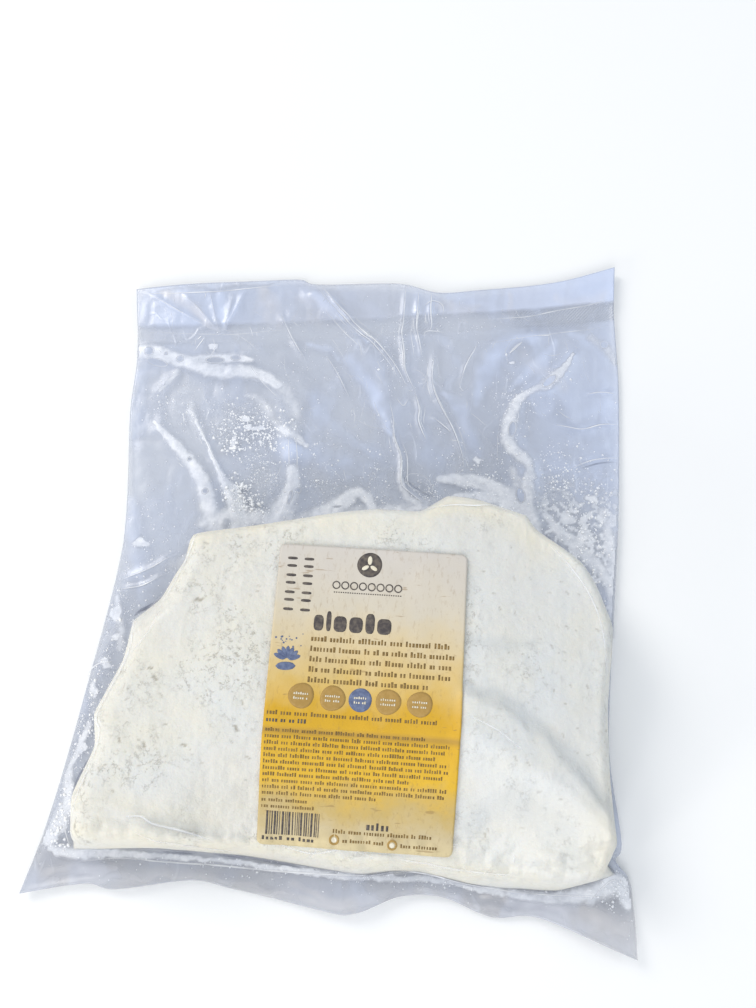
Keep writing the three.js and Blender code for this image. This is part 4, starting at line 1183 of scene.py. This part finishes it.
def crumb_shapes(chance, centres, radii, lift):
    """Flattened lumps with uneven rims: a ring of points each, with one point above and one below."""
    count = len(radii)
    turn = chance.uniform(0, 2 * pi, (count, 1)) + np.arange(CRUMB_SIDES) * 2 * pi / CRUMB_SIDES
    reach = radii[:, None] * chance.uniform(0.55, 1.25, (count, CRUMB_SIDES))
    ring = np.stack([centres[:, None, 0] + reach * np.cos(turn), centres[:, None, 1] + reach * np.sin(turn),
                     np.repeat(centres[:, None, 2], CRUMB_SIDES, 1)], -1)
    poles = np.stack([np.zeros(count), np.zeros(count), lift], -1)
    points = np.concatenate([ring, (centres + poles)[:, None], (centres - poles)[:, None]], 1).reshape(-1, 3)
    first = np.arange(count)[:, None] * (CRUMB_SIDES + 2)
    step = np.arange(CRUMB_SIDES)
    here, following = first + step, first + (step + 1) % CRUMB_SIDES
    top, bottom = (np.broadcast_to(first + CRUMB_SIDES + pole, here.shape) for pole in (0, 1))
    faces = np.concatenate([np.stack([here, following, top], -1), np.stack([following, here, bottom], -1)])
    return points, faces.reshape(-1, 3)


def make_crumbs():
    """All loose curd, in one piece."""
    chance = np.random.default_rng(41)
    flakes = np.array(FLAKES)
    places, radii = [flakes[:, :2]], [flakes[:, 2]]
    for x, y, across, up, count, smallest, largest in CRUMB_CLUSTERS:
        places.append(chance.normal((x, y), (across, up), (count, 2)))
        radii.append(smallest + (largest - smallest) * chance.uniform(0, 1, count) ** 3)
    places, radii = np.concatenate(places), np.concatenate(radii)
    x, y = places.T
    film = Film(x, y)
    room = measure(pouch_ring, x, y, 5)[0]
    fits = inside(pouch_ring, x, y) & (room > radii + 0.5) & (film.outward > radii * 0.5)
    centres = np.stack([x, y, film.top - CRUMB_DEPTH], -1)[fits]
    lift = np.minimum(CRUMB_LIFT, CRUMB_DEPTH + CRUMB_FLATNESS * radii[fits])
    points, faces = crumb_shapes(chance, centres, radii[fits], lift)
    return make_mesh("curd_crumbs", points, faces, crumb_material())


# Label

LABEL_WIDTH, LABEL_LENGTH = 62.2, 94.5
LABEL_CENTRE = (8.1, -51.5)
LABEL_LEFT, LABEL_TOP = LABEL_CENTRE[0] - LABEL_WIDTH / 2, LABEL_CENTRE[1] + LABEL_LENGTH / 2
LABEL_COLUMNS, LABEL_ROWS = 90, 136
LABEL_CORNER = 1.9
LABEL_RISE, PAPER_THICKNESS, PRINT_THICKNESS = 0.17, 0.16, 0.04
# The paper's fold: how far down it runs, its width, its depth and the strength of the painted shade along it
FOLD_DOWN, FOLD_WIDTH, FOLD_DEPTH, FOLD_SHADE = 59.3, 0.9, 0.22, 0.5
PAPER_STOPS = [
    (0, colour(213, 206, 197)), (0.2, colour(216, 206, 186)), (0.32, colour(221, 202, 162)),
    (0.46, colour(222, 190, 116)), (0.58, colour(218, 170, 34)), (0.76, colour(230, 184, 44)),
    (0.86, colour(204, 176, 106)), (0.95, colour(208, 190, 148)), (1, colour(220, 202, 156)),
]


def label_underside(x, y):
    """Level of the label's lower face, a little lower along its fold."""
    fold = np.exp(-((LABEL_TOP - y - FOLD_DOWN) / FOLD_WIDTH) ** 2)
    return Film(x, y).top + LABEL_RISE + FOLD_DEPTH * (1 - fold)


def make_label():
    """The paper, a closed sheet with rounded corners and a fold across it."""
    half_width, half_length = LABEL_WIDTH / 2, LABEL_LENGTH / 2
    x, y = np.meshgrid(np.linspace(-half_width, half_width, LABEL_COLUMNS + 1),
                       np.linspace(-half_length, half_length, LABEL_ROWS + 1))
    beyond_x, beyond_y = np.abs(x) - (half_width - LABEL_CORNER), np.abs(y) - (half_length - LABEL_CORNER)
    corner = (beyond_x > 0) & (beyond_y > 0)
    shrink = np.where(corner, 1 - np.maximum(beyond_x, beyond_y) / np.hypot(beyond_x, beyond_y), 0)
    x = x - np.sign(x) * np.where(corner, beyond_x * shrink, 0) + LABEL_CENTRE[0]
    y = y - np.sign(y) * np.where(corner, beyond_y * shrink, 0) + LABEL_CENTRE[1]
    underside = label_underside(x, y)
    down = (LABEL_TOP - y) / LABEL_LENGTH
    past_fold = down * LABEL_LENGTH - FOLD_DOWN
    # Painted shade along the fold, darkest at the crease
    fold = FOLD_SHADE * (smooth(past_fold, -1.6, 0) - smooth(past_fold, 0, 2.2))
    points, faces = sheet_pair(x, y, underside + PAPER_THICKNESS, underside)
    fields = {"down": np.tile(down.ravel(), 2), "fold": np.tile(fold.ravel(), 2)}
    return make_mesh("label_paper", points, faces, paper_material(), fields)


WORD_LETTERS, WORD_GAP = (2, 10), 0.8
LETTER_WIDTHS, LETTER_HEIGHTS = (0.45, 0.75), [0.72, 0.72, 0.72, 1.0]
BAR_STEP = 0.8


class Print:
    """Flat shapes in one ink. Places are in millimetres from the label's upper left corner, down the page."""

    def __init__(self, seed):
        self.points, self.faces, self.count = [], [], 0
        self.chance = np.random.default_rng(seed)

    def sheet(self, x, y):
        points, faces = sheet_pair(x, y, np.ones(x.shape), np.zeros(x.shape))
        self.points.append(points)
        self.faces.append(faces + self.count)
        self.count += len(points)

    def bar(self, left, top, width, height):
        columns, rows = max(1, round(width / BAR_STEP)), max(1, round(height / BAR_STEP))
        x, y = np.meshgrid(np.linspace(left, left + width, columns + 1),
                           -np.linspace(top + height, top, rows + 1))
        self.sheet(x, y)

    def round_bar(self, left, top, width, height, roundness=0.35):
        """A block with rounded corners."""
        s, t = np.meshgrid(np.linspace(-1, 1, 7), np.linspace(-1, 1, 7))
        squeeze_x, squeeze_y = np.sqrt(1 - roundness * t ** 4), np.sqrt(1 - roundness * s ** 4)
        self.sheet(left + width / 2 * (1 + s * squeeze_x), -(top + height / 2) + height / 2 * t * squeeze_y)

    def disc(self, x, y, radius, wobble=0.0, stretch=1.0):
        s, t = np.meshgrid(np.linspace(-1, 1, 11), np.linspace(-1, 1, 11))
        length = np.hypot(s, t)
        reach = np.where(length > 0, np.maximum(np.abs(s), np.abs(t)) / np.maximum(length, 1e-9), 0)
        angle = np.arctan2(t, s)
        reach = reach * radius * (1 + wobble * np.sin(3 * angle + x) + wobble * 0.7 * np.cos(2 * angle + y))
        self.sheet(x + s * reach, -y + t * reach * stretch)

    def leaf(self, x, y, length, width, turn):
        s, t = np.meshgrid(np.linspace(-1, 1, 9), np.linspace(-1, 1, 5))
        along_leaf, across = s * length / 2, t * width / 2 * np.sqrt(np.maximum(1 - s * s, 0.001))
        c, d = cos(radians(turn)), sin(radians(turn))
        self.sheet(x + along_leaf * c - across * d, -y + along_leaf * d + across * c)

    def arc(self, x, y, inner, outer, start=2, end=358):
        turn = np.radians(np.linspace(end, start, 21))[None, :]
        reach = np.array([inner, outer])[:, None]
        self.sheet(x + reach * np.cos(turn), -y + reach * np.sin(turn))

    def words(self, left, right, top, height, letter):
        """A line of small blocks spaced like words."""
        place = left
        while place < right - letter:
            for _ in range(self.chance.integers(*WORD_LETTERS)):
                width = letter * self.chance.uniform(*LETTER_WIDTHS)
                tall = height * self.chance.choice(LETTER_HEIGHTS)
                if place + width > right:
                    break
                self.bar(place, top + height - tall, width, tall)
                place += letter
            place += WORD_GAP * letter

    def paragraphs(self, rows):
        """Lines of words from (left, top, step down, height, letter width, right ends) rows."""
        for left, top, step, height, letter, right_ends in rows:
            for row, right in enumerate(right_ends):
                self.words(left, right, top + step * row, height, letter)

    def make(self, name, material):
        points = np.concatenate(self.points)
        x, y = points[:, 0] + LABEL_LEFT, points[:, 1] + LABEL_TOP
        level = label_underside(x, y) + PAPER_THICKNESS
        points = np.stack([x, y, level + PRINT_THICKNESS * (points[:, 2] * 2 - 1)], -1)
        return make_mesh(name, points, np.concatenate(self.faces), material)


# Places on the label, in millimetres from its upper left corner, down the page
EMBLEM, EMBLEM_RADIUS = (30.1, 5.4), 4.1
RINGS, RING_STEP, RING_LEFT, RING_DOWN = 8, 2.9, 19.6, 12.6
DOTS, DOT_STEP, DOT_LEFT, DOT_DOWN = 30, 0.75, 18.9, 14.75
TITLE_WIDTHS, TITLE_LEFT, TITLE_FOOT, TITLE_GAP = [3.2, 1.6, 4.2, 4.4, 3, 4.6], 13.2, 27.7, 0.85
CODE_COLUMNS, CODE_TOP, CODE_BAR = (2.9, 8.4), 4.2, (3.2, 0.9)
STRIPES_LEFT, STRIPES_RIGHT, STRIPES_TOP, STRIPES_HEIGHT = 2.6, 19.6, 84, 7.2
BLACK_LINES = [
    (1.6, 91.7, 0, 1.2, 1.35, [19.4]), (34.5, 85.6, 0, 2.3, 1.55, [41.5]), (0.9, 55.6, 0, 1.3, 0.95, [14]),
]
BROWN_LINES = [
    (12.8, 29.4, 3.25, 1.7, 1.05, [58.4, 59.4, 58.8, 58.2, 52.4]),
    (0.9, 53.3, 0, 1.35, 0.9, [54.6]),
    (0.9, 58.6, 1.92, 1.15, 0.78, [52, 59.6, 59, 55, 58.6, 59.4, 58, 48, 59, 58.4, 37.4]),
    (0.9, 80, 1.95, 1.1, 0.78, [15.2, 18.4]),
    (24, 88.3, 0, 1.2, 0.85, [55.8]), (27.2, 91, 0, 1.15, 0.85, [40.8]), (45.6, 91.4, 0, 1.15, 0.85, [58.6]),
]
SPRIG, SPRIG_LEAVES = (5.6, 37.6), 7
BERRIES, BERRIES_AT = 16, (5.6, 31.4)
BADGES = [(11.2, 48.4), (21.2, 48.6), (30, 48.6), (38.9, 48.6), (49, 48.7)]
BADGE_RADIUS, SLATE_BADGE = 4.1, 2
ROUND_MARKS = [(24.6, 91.5), (43, 91.9)]


def black_print():
    """Emblem, headings and code bars in near-black ink."""
    ink = Print(51)
    ink.disc(*EMBLEM, EMBLEM_RADIUS, 0.012)
    for index in range(RINGS):
        ink.arc(RING_LEFT + RING_STEP * index, RING_DOWN, 0.95, 1.35)
    for index in range(DOTS):
        ink.bar(DOT_LEFT + DOT_STEP * index, DOT_DOWN, 0.42, 0.35)
    place = TITLE_LEFT
    for index, width in enumerate(TITLE_WIDTHS):
        tall = 6.4 if index in (1, 4) else 5
        ink.round_bar(place, TITLE_FOOT - tall, width, tall)
        place += width + TITLE_GAP
    for column in CODE_COLUMNS:
        for index in range(7):
            ink.round_bar(column, CODE_TOP + 5.6 * (index // 2) + 2.5 * (index % 2), *CODE_BAR)
    chance = np.random.default_rng(52)
    place = STRIPES_LEFT
    while place < STRIPES_RIGHT:
        width = chance.choice([0.25, 0.4, 0.65])
        ink.bar(place, STRIPES_TOP, width, STRIPES_HEIGHT)
        place += width + chance.choice([0.25, 0.4, 0.55])
    ink.paragraphs(BLACK_LINES)
    return ink.make("print_black", ink_material("black_ink", colour(72, 66, 66), colour(122, 112, 100)))


def brown_print():
    """Lines of fine print in brown ink."""
    ink = Print(61)
    ink.paragraphs(BROWN_LINES)
    return ink.make("print_brown", ink_material("brown_ink", colour(122, 96, 50), colour(166, 134, 74)))


def ochre_print():
    """Round badges in ochre."""
    ink = Print(71)
    for index, badge in enumerate(BADGES):
        if index != SLATE_BADGE:
            ink.disc(*badge, BADGE_RADIUS, 0.025, 0.96)
    for x, y in ROUND_MARKS:
        ink.arc(x, y, 1.05, 1.65)
    return ink.make("print_ochre", ink_material("ochre_ink", colour(176, 140, 72), colour(188, 152, 86)))


def slate_print():
    """A sprig and one badge in slate blue."""
    ink = Print(81)
    ink.disc(*BADGES[SLATE_BADGE], 3.7, 0.01)
    for index in range(SPRIG_LEAVES):
        turn = 20 + 23 * index
        ink.leaf(SPRIG[0] + 2.6 * cos(radians(turn)), SPRIG[1] - 2.4 * sin(radians(turn)), 4, 1.5, turn)
    ink.leaf(SPRIG[0] - 0.2, SPRIG[1] + 2, 6.4, 2.6, 4)
    chance = np.random.default_rng(82)
    for _ in range(BERRIES):
        x, y = BERRIES_AT[0] + chance.normal(0, 2.4), BERRIES_AT[1] + chance.normal(0, 1.5)
        ink.disc(x, y, chance.uniform(0.16, 0.34))
    return ink.make("print_slate", ink_material("slate_ink", colour(92, 104, 136), colour(126, 138, 166)))


def pale_print():
    """Cream marks on the emblem and the badges, printed over the other inks."""
    ink = Print(91)
    for index, (x, y) in enumerate(BADGES):
        reach = 2 if index == SLATE_BADGE else 2.4
        for line in (y - 1.1, y + 0.35):
            ink.words(x - reach, x + reach, line, 0.8, 0.7)
    ink.leaf(EMBLEM[0], 3.9, 3, 1.5, 90)
    for side in (-1, 1):
        ink.leaf(EMBLEM[0] + 1.4 * side, 6.4, 2.6, 1.3, 90 + 60 * side)
    for x, y in ROUND_MARKS:
        ink.disc(x, y, 0.8)
    pale = ink.make("print_pale", ink_material("pale_ink", colour(240, 232, 210), colour(226, 214, 184)))
    pale.location.z = 2 * PRINT_THICKNESS * MM
    return pale


# Stage

FLOOR_SIZE, FLOOR_LEVEL = 1.6, -0.05
WORLD_COLOUR, WORLD_STRENGTH = (0.86, 0.92, 1, 1), 0.5
# Lights: (name, place in metres, size, watts, colour)
LIGHTS = [
    ("key", (-0.85, 0.65, 0.85), 0.6, 8.5, (1, 0.97, 0.93)),
    ("fill", (-0.15, -0.95, 0.75), 0.7, 5.5, (0.98, 0.98, 1)),
    ("rake", (-0.85, -0.75, 0.35), 0.25, 2.4, (1, 0.98, 0.95)),
    ("sky", (0.6, 0.3, 0.5), 0.5, 1.2, (0.85, 0.92, 1)),
]


def make_floor():
    """A plain pale floor just under the pack."""
    floor = Material("floor", Roughness=0.85)
    floor.paint(floor.blend(floor.noise(3, 3), colour(250, 250, 249), colour(252, 252, 251)))
    half = FLOOR_SIZE / 2 / MM
    corners = [(x, y, FLOOR_LEVEL) for x, y in ((-half, -half), (half, -half), (half, half), (-half, half))]
    piece = make_mesh("floor", corners, [(0, 1, 2, 3)], floor.material)


def add_light(name, place, size, power, tint):
    """A square light that faces the pack."""
    lamp = bpy.data.lights.new(name, "AREA")
    lamp.size, lamp.energy, lamp.color = size, power, tint
    light = bpy.data.objects.new(name, lamp)
    light.location = place
    light.rotation_euler = (-light.location).to_track_quat("-Z", "Y").to_euler()
    bpy.context.scene.collection.objects.link(light)


def light_studio():
    world = bpy.data.worlds.new("studio")
    world.use_nodes = True
    background = world.node_tree.nodes["Background"]
    background.inputs["Color"].default_value = WORLD_COLOUR
    background.inputs["Strength"].default_value = WORLD_STRENGTH
    bpy.context.scene.world = world
    for light in LIGHTS:
        add_light(*light)


def place_camera():
    lens = bpy.data.cameras.new("camera")
    lens.sensor_width = SENSOR_MM
    lens.lens = SENSOR_MM * FOCAL_PIXELS / LONG_SIDE_PIXELS
    lens.clip_start = 0.01
    camera = bpy.data.objects.new("camera", lens)
    camera.location = np.array(CAMERA_PLACE) * MM
    camera.rotation_euler = (CAMERA_TILT, 0, CAMERA_TURN)
    bpy.context.scene.collection.objects.link(camera)
    bpy.context.scene.camera = camera


PIECES = [
    (make_film, "pouch", "pouch"), (make_creases, "pouch", "pouch"), (make_ricotta, "pouch", "pouch"),
    (make_whey, "pouch", "pouch"), (make_crumbs, "pouch", "pouch"), (make_label, "label", "label"),
    (black_print, "label", "label"), (brown_print, "label", "label"), (ochre_print, "label", "label"),
    (slate_print, "label", "label"), (pale_print, "label", "label"),
]
for make, node, slot in PIECES:
    piece = make()
    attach(piece, "root")
    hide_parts(node)

make_floor()
light_studio()
place_camera()
bpy.context.scene.view_settings.view_transform = "Standard"
